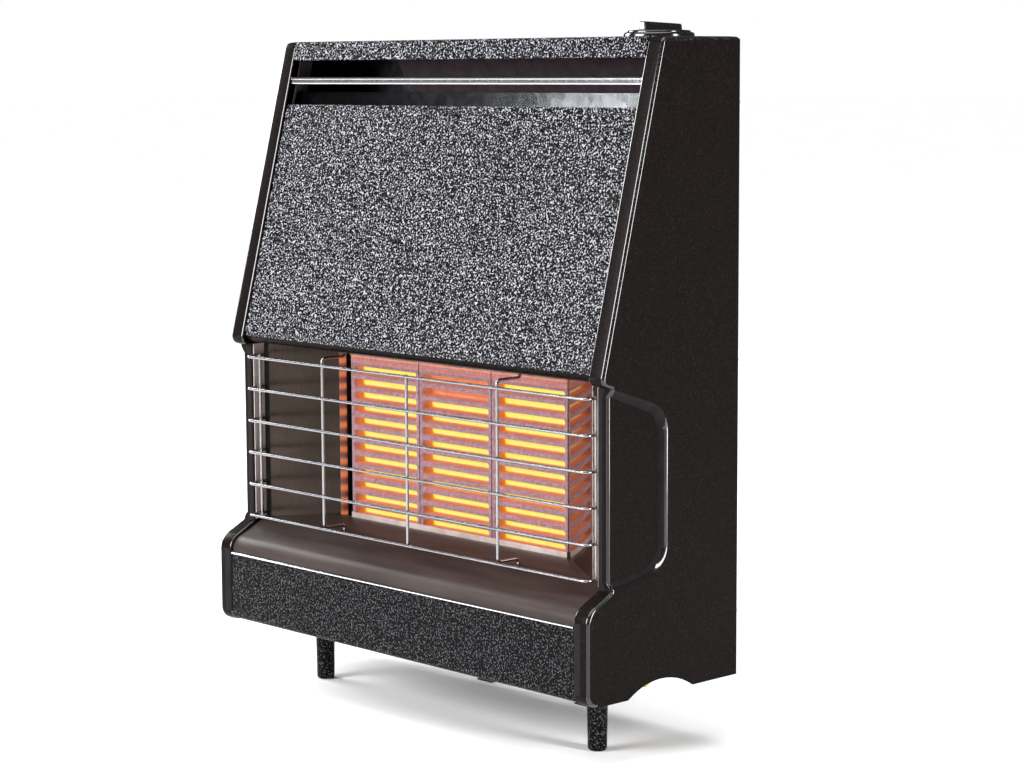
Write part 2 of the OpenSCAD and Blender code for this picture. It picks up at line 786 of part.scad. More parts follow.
module radiant_retainer() color("#77797c") in_case() {
    front = radiant_in - ledge_t;
    box(-radiants_half, front, retainer_low, 2 * radiants_half, firebox_in - front, ledge_t);
    box(-radiants_half, front, retainer_low - retainer_lip, 2 * radiants_half, ledge_t - gap,
        retainer_lip + ledge_t);
}

// Polished side of the reflector, from the radiants out to the guard's end
module reflector_side() {
    low = hearth_h + gap;
    high = hood_low - gap;
    inner = radiants_half + cheek_gap;
    intersection() {
        linear_extrude(height = high) polygon(bent([
            [inner, radiant_back, 0], [inner, cheek_corner, cheek_bend], [cheek_half, cheek_in, roll_r],
            [cheek_end, cheek_in, 0]
        ], -inner_sheet));
        along_x(radiants_half, half_w - radiants_half) polygon([
            [guard_in, fender_mid_h - (fender_mid - guard_in) * fender_slope + gap], [hearth_in, low],
            [firebox_in, low], [firebox_in, high], [guard_in, high]
        ]);
    }
}
module reflector_right() color("#a09890") in_case() reflector_side();
module reflector_left() color("#a09890") in_case() mirror([1, 0, 0]) reflector_side();
// Upper part of the reflector, from the radiants' retainer to the canopy's fold
module reflector_hood() color("#a09890") in_case() difference() {
    along_x(-cheek_end, 2 * cheek_end) polygon(bent([
        [radiant_back, hood_low, 0], [radiant_in, hood_low, roll_r], [hood_in + hood_flat, hood_high, roll_r],
        [hood_in, hood_high, 0]
    ], -inner_sheet));
    for (s = [-1, 1]) rod_z(s * upright_pitch, guard_in + wire_d - weld + top_hook_in,
        min(hood_low, hood_high) - 2 * inner_sheet, abs(hood_high - hood_low) + 4 * inner_sheet, hook_hole_r);
    rod_z(pilot_lane, pilot_in, hood_low - overrun, inner_sheet + 2 * overrun, pilot_pipe_r + gap);
    rod_z(knob_x, probe_in, hood_low - overrun, inner_sheet + 2 * overrun, thermo_r + gap);
}

// Open-topped tray under the radiants, which holds the burner
module burner_tray() color("#77797c") in_case() difference() {
    inner = firebox_half - inner_sheet;
    deep = firebox_in - gap - tray_in;
    box(-firebox_half, tray_in, firebox_low, 2 * firebox_half, deep, hearth_h - firebox_low);
    box(-inner, tray_in + inner_sheet, firebox_low + inner_sheet, 2 * inner, deep, hearth_h - firebox_low);
    rod_x(-firebox_half - overrun, chamber_mid, burner_mid_h, inner_sheet + 2 * overrun, mixer_r + gap);
    for (y = [pilot_in, electrode_in, probe_in])
        rod_z(pilot_x, y, firebox_low - overrun, inner_sheet + 2 * overrun, pilot_r + gap);
}
// Open-fronted firebox behind the radiants
module firebox() color("#77797c") in_case() difference() {
    inner = firebox_half - inner_sheet;
    deep = firebox_back - firebox_in;
    high = firebox_top - firebox_low;
    box(-firebox_half, firebox_in, firebox_low, 2 * firebox_half, deep, high);
    box(-inner, firebox_in - overrun, firebox_low + inner_sheet, 2 * inner, deep - inner_sheet + overrun,
        high - 2 * inner_sheet);
    box(-exchanger_half + inner_sheet, firebox_in + inner_sheet, firebox_top - 2 * inner_sheet,
        exchanger_w - 2 * inner_sheet, deep - 2 * inner_sheet, 3 * inner_sheet);
}
module insulation_board() color("#e9dcc3") in_case()
    box(-firebox_half + inner_sheet + gap, firebox_back - inner_sheet - board_t, firebox_low + inner_sheet,
        2 * (firebox_half - inner_sheet - gap), board_t, firebox_top - firebox_low - 2 * inner_sheet);

module heat_exchanger() color("#6d6f72") in_case() difference() {
    box(-exchanger_half, firebox_in, exchanger_low, exchanger_w, exchanger_back - firebox_in, exchanger_h);
    box(-exchanger_half + inner_sheet, firebox_in + inner_sheet, exchanger_low - overrun,
        exchanger_w - 2 * inner_sheet, exchanger_back - firebox_in - 2 * inner_sheet,
        exchanger_h - inner_sheet + overrun);
    translate([0, 0, spigot_z]) along_y(exchanger_back - 2 * inner_sheet, 3 * inner_sheet)
        oblong(spigot_w - 2 * spigot_wall, spigot_h - 2 * spigot_wall);
    spigot_screw_holes();
}
module exchanger_baffle() color("#6d6f72") in_case()
    along_x(-exchanger_half + inner_sheet + gap, exchanger_w - 2 * (inner_sheet + gap)) polygon(bent([
        [exchanger_back - inner_sheet, exchanger_low + baffle_low, 0],
        [baffle_in, exchanger_low + baffle_low, roll_r],
        [baffle_in, exchanger_low + exchanger_h - baffle_gap, 0]
    ], -inner_sheet));
module spigot_screw_places() for (sx = [-1, 1], sz = [-1, 1])
    translate([sx * (spigot_w - spigot_h) / 2, 0, spigot_z + sz * (spigot_h + flange_w) / 2]) children();
module spigot_screw_holes() spigot_screw_places() rod_y(0, exchanger_back - 2 * inner_sheet, 0,
    4 * inner_sheet + gasket_t, screw_shank_r + run_fit);
module flue_gasket() color("#d8cfc0") in_case() difference() {
    translate([0, 0, spigot_z]) along_y(exchanger_back, gasket_t) difference() {
        oblong(spigot_w + 2 * flange_w, spigot_h + 2 * flange_w);
        oblong(spigot_w - 2 * spigot_wall, spigot_h - 2 * spigot_wall);
    }
    spigot_screw_holes();
}
module flue_spigot() color("#8f9296") in_case() difference() {
    translate([0, 0, spigot_z]) {
        along_y(exchanger_back + gasket_t, spigot_wall) difference() {
            oblong(spigot_w + 2 * flange_w, spigot_h + 2 * flange_w);
            oblong(spigot_w - 2 * spigot_wall, spigot_h - 2 * spigot_wall);
        }
        along_y(exchanger_back + gasket_t, case_d + spigot_out - exchanger_back - gasket_t) difference() {
            oblong(spigot_w, spigot_h);
            oblong(spigot_w - 2 * spigot_wall, spigot_h - 2 * spigot_wall);
        }
    }
    spigot_screw_holes();
}
// A pan-head screw that points to the front, with its head's seat at Y = 0
module screw(length) {
    rod_y(0, 0, 0, screw_head_h, screw_head_r);
    rod_y(0, -length, 0, length + screw_head_h / 2, screw_shank_r);
}
module spigot_screws() color("#b8b8b8") in_case() spigot_screw_places()
    translate([0, exchanger_back + gasket_t + spigot_wall, 0]) screw(gasket_t + spigot_wall + inner_sheet);

// Straps that tie the firebox and the heat exchanger to the back panel
module chassis_brackets() color("#8f9296") in_case() for (s = [-1, 1], z = bracket_heights)
    strap(s * bracket_x, z);
module strap(x, z) {
    box(x - bracket_w / 2, firebox_back, z, bracket_w, panel_in - firebox_back, bracket_t);
    box(x - bracket_w / 2, firebox_back, z - bracket_flange, bracket_w, bracket_t, bracket_flange);
    box(x - bracket_w / 2, panel_in - bracket_t, z - bracket_flange, bracket_w, bracket_t, bracket_flange);
}

// Bar burner with a row of slots, fed by a mixing tube at its left end
module burner() color("#9a9c9e") in_case() difference() {
    ports = floor(2 * (burner_half - port_pitch) / port_pitch);
    union() {
        box(-burner_half, burner_in, burner_low, 2 * burner_half, burner_d, burner_h);
        rod_x(-mixer_end, chamber_mid, burner_mid_h, mixer_end - burner_half + burner_wall, mixer_r);
    }
    box(-burner_half + burner_wall, burner_in + burner_wall, burner_low + burner_wall,
        2 * (burner_half - burner_wall), burner_d - 2 * burner_wall, burner_h - 2 * burner_wall);
    rod_x(-mixer_end - overrun, chamber_mid, burner_mid_h, mixer_end - burner_half + 2 * overrun + burner_wall,
        mixer_r - mixer_wall);
    for (i = [0:ports]) box(-ports * port_pitch / 2 + i * port_pitch - port_w / 2, chamber_mid - port_l / 2,
        burner_low + burner_h - 2 * burner_wall, port_w, port_l, 3 * burner_wall);
}
module burner_legs() color("#77797c") in_case() for (s = [-1, 0, 1])
    box(s * (burner_half - leg_w) - leg_w / 2, burner_in + burner_wall, firebox_low + inner_sheet,
        leg_w, burner_d - 2 * burner_wall, burner_low - firebox_low - inner_sheet);
module injector() color("#c9a24a") in_case() difference() {
    union() {
        hex_x(-injector_end, chamber_mid, burner_mid_h, injector_l, 2 * injector_r);
        rod_x(-mixer_end - overrun - gap, chamber_mid, burner_mid_h, mixer_out / 2, injector_tip_r);
    }
    rod_x(-injector_end - overrun, chamber_mid, burner_mid_h, 2 * injector_end, injector_bore);
}
// Angle on the tray's end that holds the injector
module injector_bracket() color("#8f9296") in_case() {
    plate = injector_end - injector_l / 2;
    deep = firebox_in - gap - tray_in;
    box(-plate, tray_in, firebox_low, plate - firebox_half, deep, inner_sheet);
    difference() {
        box(-plate - inner_sheet, tray_in, firebox_low, inner_sheet, deep, hearth_h - firebox_low);
        rod_x(-plate - 2 * inner_sheet, chamber_mid, burner_mid_h, 4 * inner_sheet,
            injector_r / cos(30) + run_fit);
    }
}

// Gas pipes: supply to the tap, and tap to the injector
module supply_pipe() color("#b9a27c") in_case() wire([
    [knob_x, inlet_in + elbow_d / 2, inlet_z], [knob_x, knob_in, inlet_z], [knob_x, knob_in, tap_low]
], pipe_bend, pipe_r);
module burner_pipe() color("#b9a27c") in_case() {
    drop = knob_x - tap_r - feed_out;
    far = injector_end + feed_out;
    wire([
        [knob_x - tap_r, knob_in, tap_mid], [drop, knob_in, tap_mid], [drop, knob_in, feed_low],
        [-far, knob_in, feed_low], [-far, chamber_mid, feed_low], [-far, chamber_mid, burner_mid_h],
        [-injector_end, chamber_mid, burner_mid_h]
    ], feed_bend, pipe_r);
}

// Inlet elbow under the foot rail, its quarter-turn isolating screw and its union nut
module inlet_elbow() color("#c9a24a") in_case() difference() {
    box(knob_x - elbow_w / 2, inlet_in - elbow_d / 2, -elbow_drop, elbow_w, elbow_d, rail_low + elbow_drop);
    rod_x(knob_x + elbow_w / 2 - socket_l, inlet_in, inlet_z, socket_l + overrun, pipe_r + 2 * run_fit);
    rod_y(screw_x, inlet_in - elbow_d / 2 - overrun, inlet_z, screw_l + overrun, screw_r + run_fit);
}
module isolator_screw() color("#d8d4c8") in_case() difference() {
    rod_y(screw_x, inlet_in - elbow_d / 2, inlet_z, screw_l - gap, screw_r);
    box(screw_x - screw_r - overrun, inlet_in - elbow_d / 2 - overrun, inlet_z - slot_w / 2,
        2 * (screw_r + overrun), slot_t + overrun, slot_w);
}
module inlet_nut() color("#c9a24a") in_case() difference() {
    hex_x(knob_x + elbow_w / 2, inlet_in, inlet_z, inlet_nut_l, inlet_nut_af);
    rod_x(knob_x + elbow_w / 2 - overrun, inlet_in, inlet_z, inlet_nut_l + 2 * overrun, pipe_r + 2 * run_fit);
}

// Tap body, the bracket that carries it, and the push-and-turn parts above it
module gas_tap() color("#c9a24a") in_case() difference() {
    rod_z(knob_x, knob_in, tap_low, tap_h, tap_r);
    rod_z(knob_x, knob_in, tap_top - spindle_in - knob_travel - overrun, tap_h, spindle_r + run_fit);
}
module tap_bracket() color("#8f9296") in_case() difference() {
    union() {
        box(knob_x - tap_plate_half, knob_in - tap_plate_front, tap_top, 2 * tap_plate_half,
            panel_in - knob_in + tap_plate_front, tap_plate_t);
        box(knob_x - tap_plate_half, panel_in - tap_plate_t, tap_top - tap_plate_lip, 2 * tap_plate_half,
            tap_plate_t, tap_plate_lip);
    }
    rod_z(knob_x, knob_in, tap_top - overrun, tap_plate_t + 2 * overrun, spindle_r + run_fit);
}
module tap_cam() color("#d8d4c8") in_case() difference() {
    rod_z(knob_x, knob_in, cam_low, cam_h, cam_r);
    rod_z(knob_x, knob_in, cam_low - overrun, cam_h + 2 * overrun, spindle_r + run_fit);
}
module tap_spring() color("#b8b8b8") in_case() difference() {
    rod_z(knob_x, knob_in, spring_low, collar_low - gap - spring_low, spring_r);
    rod_z(knob_x, knob_in, spring_low - overrun, collar_low - spring_low + 2 * overrun, spring_r - spring_wall);
}
module control_spindle() color("#b8b8b8") in_case() {
    low = tap_top - spindle_in;
    rod_z(knob_x, knob_in, low, knob_low + skirt_h / 2 - low, spindle_r);
    rod_z(knob_x, knob_in, collar_low, collar_h, collar_r);
}
// Shallow round well in which the knob's skirt sinks
module dial_plate() color("#1c1b1b") in_case() translate([knob_x, knob_in, case_h]) difference() {
    rotate_extrude() polygon(closed([
        [0, 0, 0], [dial_w / 2, 0, 0], [dial_w / 2, dial_h, dial_r], [knob_w / 2 + dial_clear, dial_h, 0],
        [knob_w / 2 + dial_clear, dial_floor, 0], [0, dial_floor, 0]
    ]));
    rod_z(0, 0, -overrun, dial_floor + 2 * overrun, spindle_hole_r);
}
module control_knob() color("#151414") in_case() translate([knob_x, knob_in, knob_low]) difference() {
    near = grip_offset - grip_l / 2;
    far = grip_offset + grip_l / 2;
    union() {
        rotate_extrude() polygon(closed([
            [0, 0, 0], [knob_w / 2, 0, 0], [knob_w / 2, skirt_h, skirt_r], [0, skirt_h, 0]
        ]));
        along_x(-grip_t / 2, grip_t) polygon(closed([
            [near, skirt_h / 2, 0], [far, skirt_h / 2, 0], [far, grip_back_h, grip_r], [near, grip_h, grip_r]
        ]));
    }
    rod_z(0, 0, -overrun, skirt_h / 2 + overrun, spindle_r);
}

// Spark unit beside the tap, and its lead
module piezo_igniter() color("#2b2b2f") in_case()
    rod_z(knob_x - piezo_side, piezo_in, tap_top - piezo_h, piezo_h, piezo_r);
module ignition_lead() color("#c7573a") in_case() wire([
    [pilot_x, electrode_in, pilot_low], [pilot_x, electrode_in, lead_lane_h], [pilot_x, piezo_in, lead_lane_h],
    [knob_x - piezo_side, piezo_in, lead_lane_h], [knob_x - piezo_side, piezo_in, tap_top - piezo_h]
], lead_bend, lead_r);

// Pilot burner, spark electrode and thermocouple on their plate
module pilot_bracket() color("#8f9296") in_case() difference() {
    box(burner_half + gap, chamber_mid - pilot_plate_half, pilot_plate_h,
        firebox_half - inner_sheet - burner_half - gap, 2 * pilot_plate_half, pilot_plate_t);
    rod_z(pilot_x, pilot_in, pilot_plate_h - overrun, pilot_plate_t + 2 * overrun, pilot_r + run_fit);
    rod_z(pilot_x, electrode_in, pilot_plate_h - overrun, pilot_plate_t + 2 * overrun, electrode_r + run_fit);
    rod_z(pilot_x, probe_in, pilot_plate_h - overrun, pilot_plate_t + 2 * overrun, probe_r + run_fit);
}
module pilot_burner() color("#c9a24a") in_case() rod_z(pilot_x, pilot_in, pilot_low, pilot_h, pilot_r);
module spark_electrode() color("#f2efe6") in_case() {
    rod_z(pilot_x, electrode_in, pilot_low, electrode_h, electrode_r);
    rod_z(pilot_x, electrode_in, pilot_low + electrode_h - overrun, electrode_tip_h + overrun, electrode_tip_r);
}
module thermocouple() color("#b07a4a") in_case() {
    rod_z(pilot_x, probe_in, pilot_low - overrun, probe_h + overrun, probe_r);
    wire([
        [pilot_x, probe_in, pilot_low], [pilot_x, probe_in, thermo_lane_h], [knob_x, probe_in, thermo_lane_h],
        [knob_x, probe_in, tap_low + thermo_entry], [knob_x, knob_in - tap_r, tap_low + thermo_entry]
    ], lead_bend, thermo_r);
}
module pilot_pipe() color("#b9a27c") in_case() wire([
    [pilot_x, pilot_in, pilot_low], [pilot_x, pilot_in, pilot_lane_h], [pilot_lane, pilot_in, pilot_lane_h],
    [pilot_lane, pilot_in, tap_low + pilot_entry], [pilot_lane, knob_in, tap_low + pilot_entry],
    [knob_x - tap_r, knob_in, tap_low + pilot_entry]
], pilot_bend, pilot_pipe_r);
module pipe_nuts() color("#c9a24a") in_case() difference() {
    union() {
        hex_z(knob_x, knob_in, tap_low - pipe_nut_h, pipe_nut_h, pipe_nut_af);
        translate([knob_x, inlet_in + elbow_d / 2, inlet_z]) rotate([-90, 0, 0])
            cylinder(h = pipe_nut_h, r = pipe_nut_af / 2 / cos(30), $fn = 6);
    }
    rod_z(knob_x, knob_in, tap_low - pipe_nut_h - overrun, pipe_nut_h + 2 * overrun, pipe_r + run_fit);
    rod_y(knob_x, inlet_in + elbow_d / 2 - overrun, inlet_z, pipe_nut_h + 2 * overrun, pipe_r + run_fit);
}
// Screws that hold the sides' back flanges to the back panel
module case_screws() color("#2a2828") in_case() both_sides() case_screw_places()
    translate([0, case_d, 0]) screw(2 * sheet + gap);

side_panel_left();
side_panel_right();
top_panel();
canopy_panel();
louvre_liner();
louvre_bar();
louvre_blade();
air_deflector();
plinth_panel();
plinth_trim();
fender();
guard_bars();
guard_uprights();
back_panel();
foot_rail();
foot(-1);  // foot_left
foot(1);  // foot_right
foot_nuts();
radiant(-1);  // radiant_left
radiant(0);  // radiant_centre
radiant(1);  // radiant_right
radiant_ledge();
radiant_retainer();
reflector_left();
reflector_right();
reflector_hood();
burner_tray();
firebox();
insulation_board();
heat_exchanger();
exchanger_baffle();
flue_gasket();
flue_spigot();
chassis_brackets();
burner();
burner_legs();
injector();
injector_bracket();
burner_pipe();
supply_pipe();
inlet_elbow();
inlet_nut();
isolator_screw();
gas_tap();
tap_bracket();
tap_cam();
tap_spring();
control_spindle();
control_knob();
dial_plate();
piezo_igniter();
ignition_lead();
pilot_burner();
pilot_bracket();
spark_electrode();
thermocouple();
pilot_pipe();
pipe_nuts();
case_screws();
spigot_screws();
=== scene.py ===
from math import acos, atan2, cos, pi, radians, sin, tan

import bmesh
import bpy
from mathutils import Matrix, Vector


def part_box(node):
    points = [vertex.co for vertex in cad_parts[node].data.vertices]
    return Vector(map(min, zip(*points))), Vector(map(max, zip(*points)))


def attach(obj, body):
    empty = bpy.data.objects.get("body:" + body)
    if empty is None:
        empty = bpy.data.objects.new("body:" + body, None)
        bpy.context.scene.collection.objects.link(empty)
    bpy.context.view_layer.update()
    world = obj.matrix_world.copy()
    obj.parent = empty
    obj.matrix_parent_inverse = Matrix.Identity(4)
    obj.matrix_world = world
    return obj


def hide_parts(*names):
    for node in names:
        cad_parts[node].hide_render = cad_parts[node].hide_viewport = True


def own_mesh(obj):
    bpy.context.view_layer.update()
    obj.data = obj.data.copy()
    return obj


bl_info = {
    "name": "Gas fire",
    "version": (1, 0, 0),
    "blender": (4, 5, 0),
    "location": "View3D > Sidebar > Gas fire",
    "description": "Dresses an outset radiant gas fire: enamelled case, guard and glowing radiants",
    "category": "Add Mesh",
}

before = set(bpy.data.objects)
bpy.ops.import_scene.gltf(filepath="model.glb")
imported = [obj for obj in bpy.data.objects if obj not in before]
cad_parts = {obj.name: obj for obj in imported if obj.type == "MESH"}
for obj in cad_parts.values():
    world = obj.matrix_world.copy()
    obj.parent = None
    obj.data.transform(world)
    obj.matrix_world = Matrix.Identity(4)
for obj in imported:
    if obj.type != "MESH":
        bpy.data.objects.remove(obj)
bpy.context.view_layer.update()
MM = 0.001
SIDE_LOW, SIDE_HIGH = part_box("side_panel_right")
# The case's own origin: the plinth's face, the lower edge, and the middle of the width
FRONT = SIDE_LOW[1]
BOTTOM = SIDE_LOW[2]
HALF_W = SIDE_HIGH[0]
INNER_HALF = SIDE_LOW[0]
CASE_D = SIDE_HIGH[1] - SIDE_LOW[1]
CASE_H = SIDE_HIGH[2] - SIDE_LOW[2]
GAP = 0.3 * MM
# Middle of the border along the sides' front edges
BORDER_MID = INNER_HALF + 7 * MM
# Rise or fall of the sides' outline per length back: step, canopy's underside, recess's lower edge
STEP_SLOPE, LIP_SLOPE, RECESS_SLOPE = 0.515, 0.298, 0.13
# The photograph's camera, with lengths in metres
PHOTO_W, FOCAL_PX, SENSOR_MM = 1024, 2550.17, 36.0
CAMERA_AZ, CAMERA_EL, CAMERA_ROLL = radians(46.632), radians(7.036), radians(-0.287)
CAMERA_FAR, AIM_BACK, AIM_UP, AIM_RIGHT, AIM_DOWN = 2.499445, 0.110, 0.330, 0.0399, 0.069504


def linear(hex_colour):
    """The linear RGB values of an sRGB hex colour."""
    parts = [int(hex_colour[i:i + 2], 16) / 255 for i in (1, 3, 5)]
    return [p / 12.92 if p <= 0.04045 else ((p + 0.055) / 1.055) ** 2.4 for p in parts]


def length(name, description, mm):
    return bpy.props.FloatProperty(
        name=name, description=description, default=mm * MM, min=0, unit="LENGTH")


def colour(name, description, hex_colour):
    return bpy.props.FloatVectorProperty(
        name=name, description=description, subtype="COLOR", size=3, min=0, max=1,
        default=linear(hex_colour))


class GasFireSizes(bpy.types.PropertyGroup):
    """Sizes of the dressed pieces; the frame gives the overall ones."""
    sheet: length("Sheet", "Thickness of the outer sheet steel", 1.2)
    bead_t: length("Border depth", "Depth of the rounded border along the sides' front edges", 5)
    bead_r: length("Border rounding", "Radius of the border's outer edge", 3.6)
    bead_inner_r: length("Border inner rounding", "Radius of the border's inner edge", 2.4)
    top_r: length("Top edge rounding", "Radius of the edge between the side and the top", 8)
    canopy_h: length("Canopy height", "Height of the canopy's lower edge", 289)
    canopy_in: length("Canopy setback", "How far the canopy's lower edge lies behind the plinth", 18)
    canopy_recess: length("Canopy recess", "How far the canopy lies behind the border", 3)
    top_d: length("Top depth", "Depth of the flat top", 103)
    header_h: length("Header height", "Height of the strip above the louvre", 19)
    louvre_h: length("Louvre height", "Height of the louvre", 45)
    step_h: length("Step height", "Height at which the side's front edge meets its step", 86)
    opening_in: length("Opening setback", "How far the side's edge lies back at the fire opening", 31)
    recess_back: length("Recess reach", "How far the side's recess reaches back", 104.5)
    recess_t: length("Recess depth", "Depth of the side's recess", 5.5)
    recess_wall: length("Recess wall", "Width of the recess's sloping wall", 8)
    recess_r: length("Recess radius", "Radius of the recess's rear corners", 28)
    plinth_h: length("Plinth height", "Height of the plinth's panel", 71)
    slot_h: length("Radiant slot", "Height of one glowing slot", 7.2)
    slot_w: length("Radiant slot width", "Width of one glowing slot", 94)
    ladder_low: length("Radiant foot", "Plain clay under the lowest slot's pitch", 0)
    ladder_high: length("Radiant head", "Plain clay over the highest slot's pitch", 14.6)
    hammer_pitch: length("Hammer pitch", "Size of one dimple of the hammer finish", 1.65)


class GasFireColours(bpy.types.PropertyGroup):
    """Colours of the finishes."""
    hammer: colour("Hammer enamel", "Black hammer-finish enamel", "#0b0a0b")
    # Fleck colours: partly the paint's metal flakes, partly painted highlights; pale on the canopy, which
    # faces the lights, and dimmed on the plinth as painted shade
    fleck_and_highlight: colour("Hammer fleck", "Pale flecks of the canopy's hammer finish", "#96969c")
    case_fleck_and_highlight: colour("Case fleck", "Duller flecks of the plinth", "#4a494c")
    side: colour("Side enamel", "Brown-black enamel of the plain sides", "#110e0d")
    brown: colour("Brown enamel", "Glossy enamel of the fender", "#251e1c")
    clay: colour("Fireclay", "Fired clay of the radiants", "#876a71")
    glow: colour("Glow", "Middle of a glowing slot", "#f7cf22")
    ember: colour("Ember", "Ends of a glowing slot", "#e0761c")


def sizes():
    return bpy.context.scene.gas_fire_sizes


def colours():
    return bpy.context.scene.gas_fire_colours


# Materials

def add(tree, kind, settings=None, links=None, out=0, into=None):
    """Adds a shader node: its settings and ramp stops, what feeds its inputs, and the input it feeds."""
    made = tree.nodes.new(kind)
    for key, value in (settings or {}).items():
        if key == "stops":
            points = made.color_ramp.elements
            for i, (place, tone) in enumerate(value):
                point = points[i] if i < 2 else points.new(place)
                point.position = place
                point.color = (*tone, 1) if hasattr(tone, "__len__") else (tone, tone, tone, 1)
        elif isinstance(key, int) or key in made.inputs:
            made.inputs[key].default_value = value
        else:
            setattr(made, key, value)
    for key, source in (links or {}).items():
        tree.links.new(source, made.inputs[key])
    if into:
        tree.links.new(made.outputs[out], into)
    return made.outputs[out]


def material(name, base, metallic=0.0, roughness=0.5, **inputs):
    """A new material with a Principled shader: returns its tree, inputs and object coordinates."""
    made = bpy.data.materials.new(name)
    made.use_nodes = True
    tree = made.node_tree
    shader = tree.nodes["Principled BSDF"].inputs
    shader["Base Color"].default_value = (*base, 1)
    shader["Metallic"].default_value = metallic
    shader["Roughness"].default_value = roughness
    for key, value in inputs.items():
        shader[key.replace("_", " ")].default_value = value
    return tree, shader, add(tree, "ShaderNodeTexCoord", out="Object")


def patches(tree, source, size, detail, stops, into):
    """Adds noise of a real size, whose ramp of stops feeds an input; returns the noise."""
    noise = add(tree, "ShaderNodeTexNoise", {"Scale": 1 / size, "Detail": detail}, {"Vector": source})
    add(tree, "ShaderNodeValToRGB", {"stops": stops}, {"Fac": noise}, into=into)
    return noise


def hammered(name, dark, fleck_and_highlight, start, end, relief_mm, gloss, coat):
    # Steel sprayed with hammer-finish stoving enamel: a glossy black skin of dimples about 1.65 mm apart,
    # under clear gloss that draws a line along each edge. Its pale flecks are painted into the base colour:
    # partly the paint's metal flakes, partly painted highlights where the dimples' rims catch the lights.
    tree, shader, place = material(name, dark, roughness=0.26, IOR=1.52, Specular_IOR_Level=gloss,
                                   Coat_Weight=coat, Coat_Roughness=0.08)
    middle = [0.5 * d + 0.07 * f for d, f in zip(dark, fleck_and_highlight)]
    skin = patches(tree, place, sizes().hammer_pitch, 0.6,
                   [(start, dark), ((start + end) / 2, middle), (end, fleck_and_highlight)], shader["Base Color"])
    add(tree, "ShaderNodeBump", {"Strength": 1.0, "Distance": relief_mm * MM}, {"Height": skin},
        into=shader["Normal"])


def enamel_brown():
    # Vitreous enamel fired on the fender: dark brown, glossy, with a faint orange peel and soft streaks.
    tree, shader, place = material("vitreous_enamel_brown_fired", colours().brown, roughness=0.38,
                                   IOR=1.54, Specular_IOR_Level=0.11)
    drawn = add(tree, "ShaderNodeMapping", {"Scale": (0.15, 1.0, 1.0)}, {"Vector": place})
    patches(tree, drawn, 14 * MM, 3.0, [(0.35, colours().brown), (0.7, linear("#342b28"))],
            shader["Base Color"])
    peel = add(tree, "ShaderNodeTexNoise", {"Scale": 1 / (2.5 * MM), "Detail": 1.0}, {"Vector": place})
    add(tree, "ShaderNodeBump", {"Strength": 0.08, "Distance": 0.3 * MM}, {"Height": peel},
        into=shader["Normal"])


def plated(name, hex_colour, roughness, scratch=0.05):
    # Steel polished and plated with nickel and chromium: bright, with faint rub marks about 3 mm long.
    tree, shader, place = material(name, linear(hex_colour), metallic=1.0, roughness=roughness)
    rub = patches(tree, place, 3 * MM, 5.0, [(0.3, roughness), (0.7, roughness + scratch)],
                  shader["Roughness"])
    add(tree, "ShaderNodeBump", {"Strength": 0.04, "Distance": 0.1 * MM}, {"Height": rub},
        into=shader["Normal"])


def reflector_sheet(name, low, high, roughness):
    # Polished ferritic steel that heat has tinted straw to brown, rolled with fine upright lines.
    tree, shader, place = material(name, linear(low), metallic=1.0, roughness=roughness)
    patches(tree, place, 90 * MM, 4.0, [(0.35, linear(low)), (0.65, linear(high))], shader["Base Color"])
    drawn = add(tree, "ShaderNodeMapping", {"Scale": (1.0, 1.0, 0.03)}, {"Vector": place})
    patches(tree, drawn, 1.2 * MM, 3.0, [(0.3, roughness), (0.7, 1.5 * roughness)], shader["Roughness"])


def sheet_painted_glow(pitch):
    # The same sheet where it curls behind the radiants, with a painted reflection of the radiants' glow:
    # dull red and orange emission in bands as far apart as the slots.
    tree, shader, place = material("stainless_painted_glow", linear("#4a3a34"), metallic=1.0, roughness=0.3)
    bands = add(tree, "ShaderNodeTexWave",
                {"bands_direction": "Z", "Scale": 2 * pi / (20 * pitch), "Distortion": 1.5, "Detail": 1.0},
                {"Vector": place})
    add(tree, "ShaderNodeValToRGB",
        {"stops": [(0.1, linear("#5c2a22")), (0.5, linear("#a8492c")), (0.9, linear("#d8743e"))]},
        {"Fac": bands}, into=shader["Emission Color"])
    shader["Emission Strength"].default_value = 0.8


def blade_sheet():
    # Polished steel, slightly bowed as rolled. Its tone is painted along its length: a painted reflection
    # of the lamp makes one end bright, and painted shade keeps the other end dark.
    tree, shader, place = material("stainless_polished_bowed_painted_sheen", linear("#8a8d91"), metallic=1.0,
                                   roughness=0.2)
    across = add(tree, "ShaderNodeSeparateXYZ", links={"Vector": place})
    right = add(tree, "ShaderNodeMath", {"operation": "MAXIMUM", 1: 0.0}, {0: across})
    square = add(tree, "ShaderNodeMath", {"operation": "MULTIPLY"}, {0: right, 1: right})
    bow = add(tree, "ShaderNodeMath", {"operation": "MULTIPLY", 1: -0.25}, {0: square})
    # Painted reflection and painted shade: the base colour runs from dark at the left end to bright at the
    # right
    share = add(tree, "ShaderNodeMapRange", {"From Min": -INNER_HALF, "From Max": INNER_HALF},
                {"Value": across})
    add(tree, "ShaderNodeValToRGB",
        {"stops": [(0.0, linear("#151516")), (0.18, linear("#1f2022")), (0.42, linear("#5c5e61")),
                   (1.0, linear("#909397"))]}, {"Fac": share}, into=shader["Base Color"])
    add(tree, "ShaderNodeBump", {"Strength": 1.0, "Distance": 1.0}, {"Height": bow}, into=shader["Normal"])
    patches(tree, place, 9 * MM, 4.0, [(0.3, 0.12), (0.7, 0.18)], shader["Roughness"])


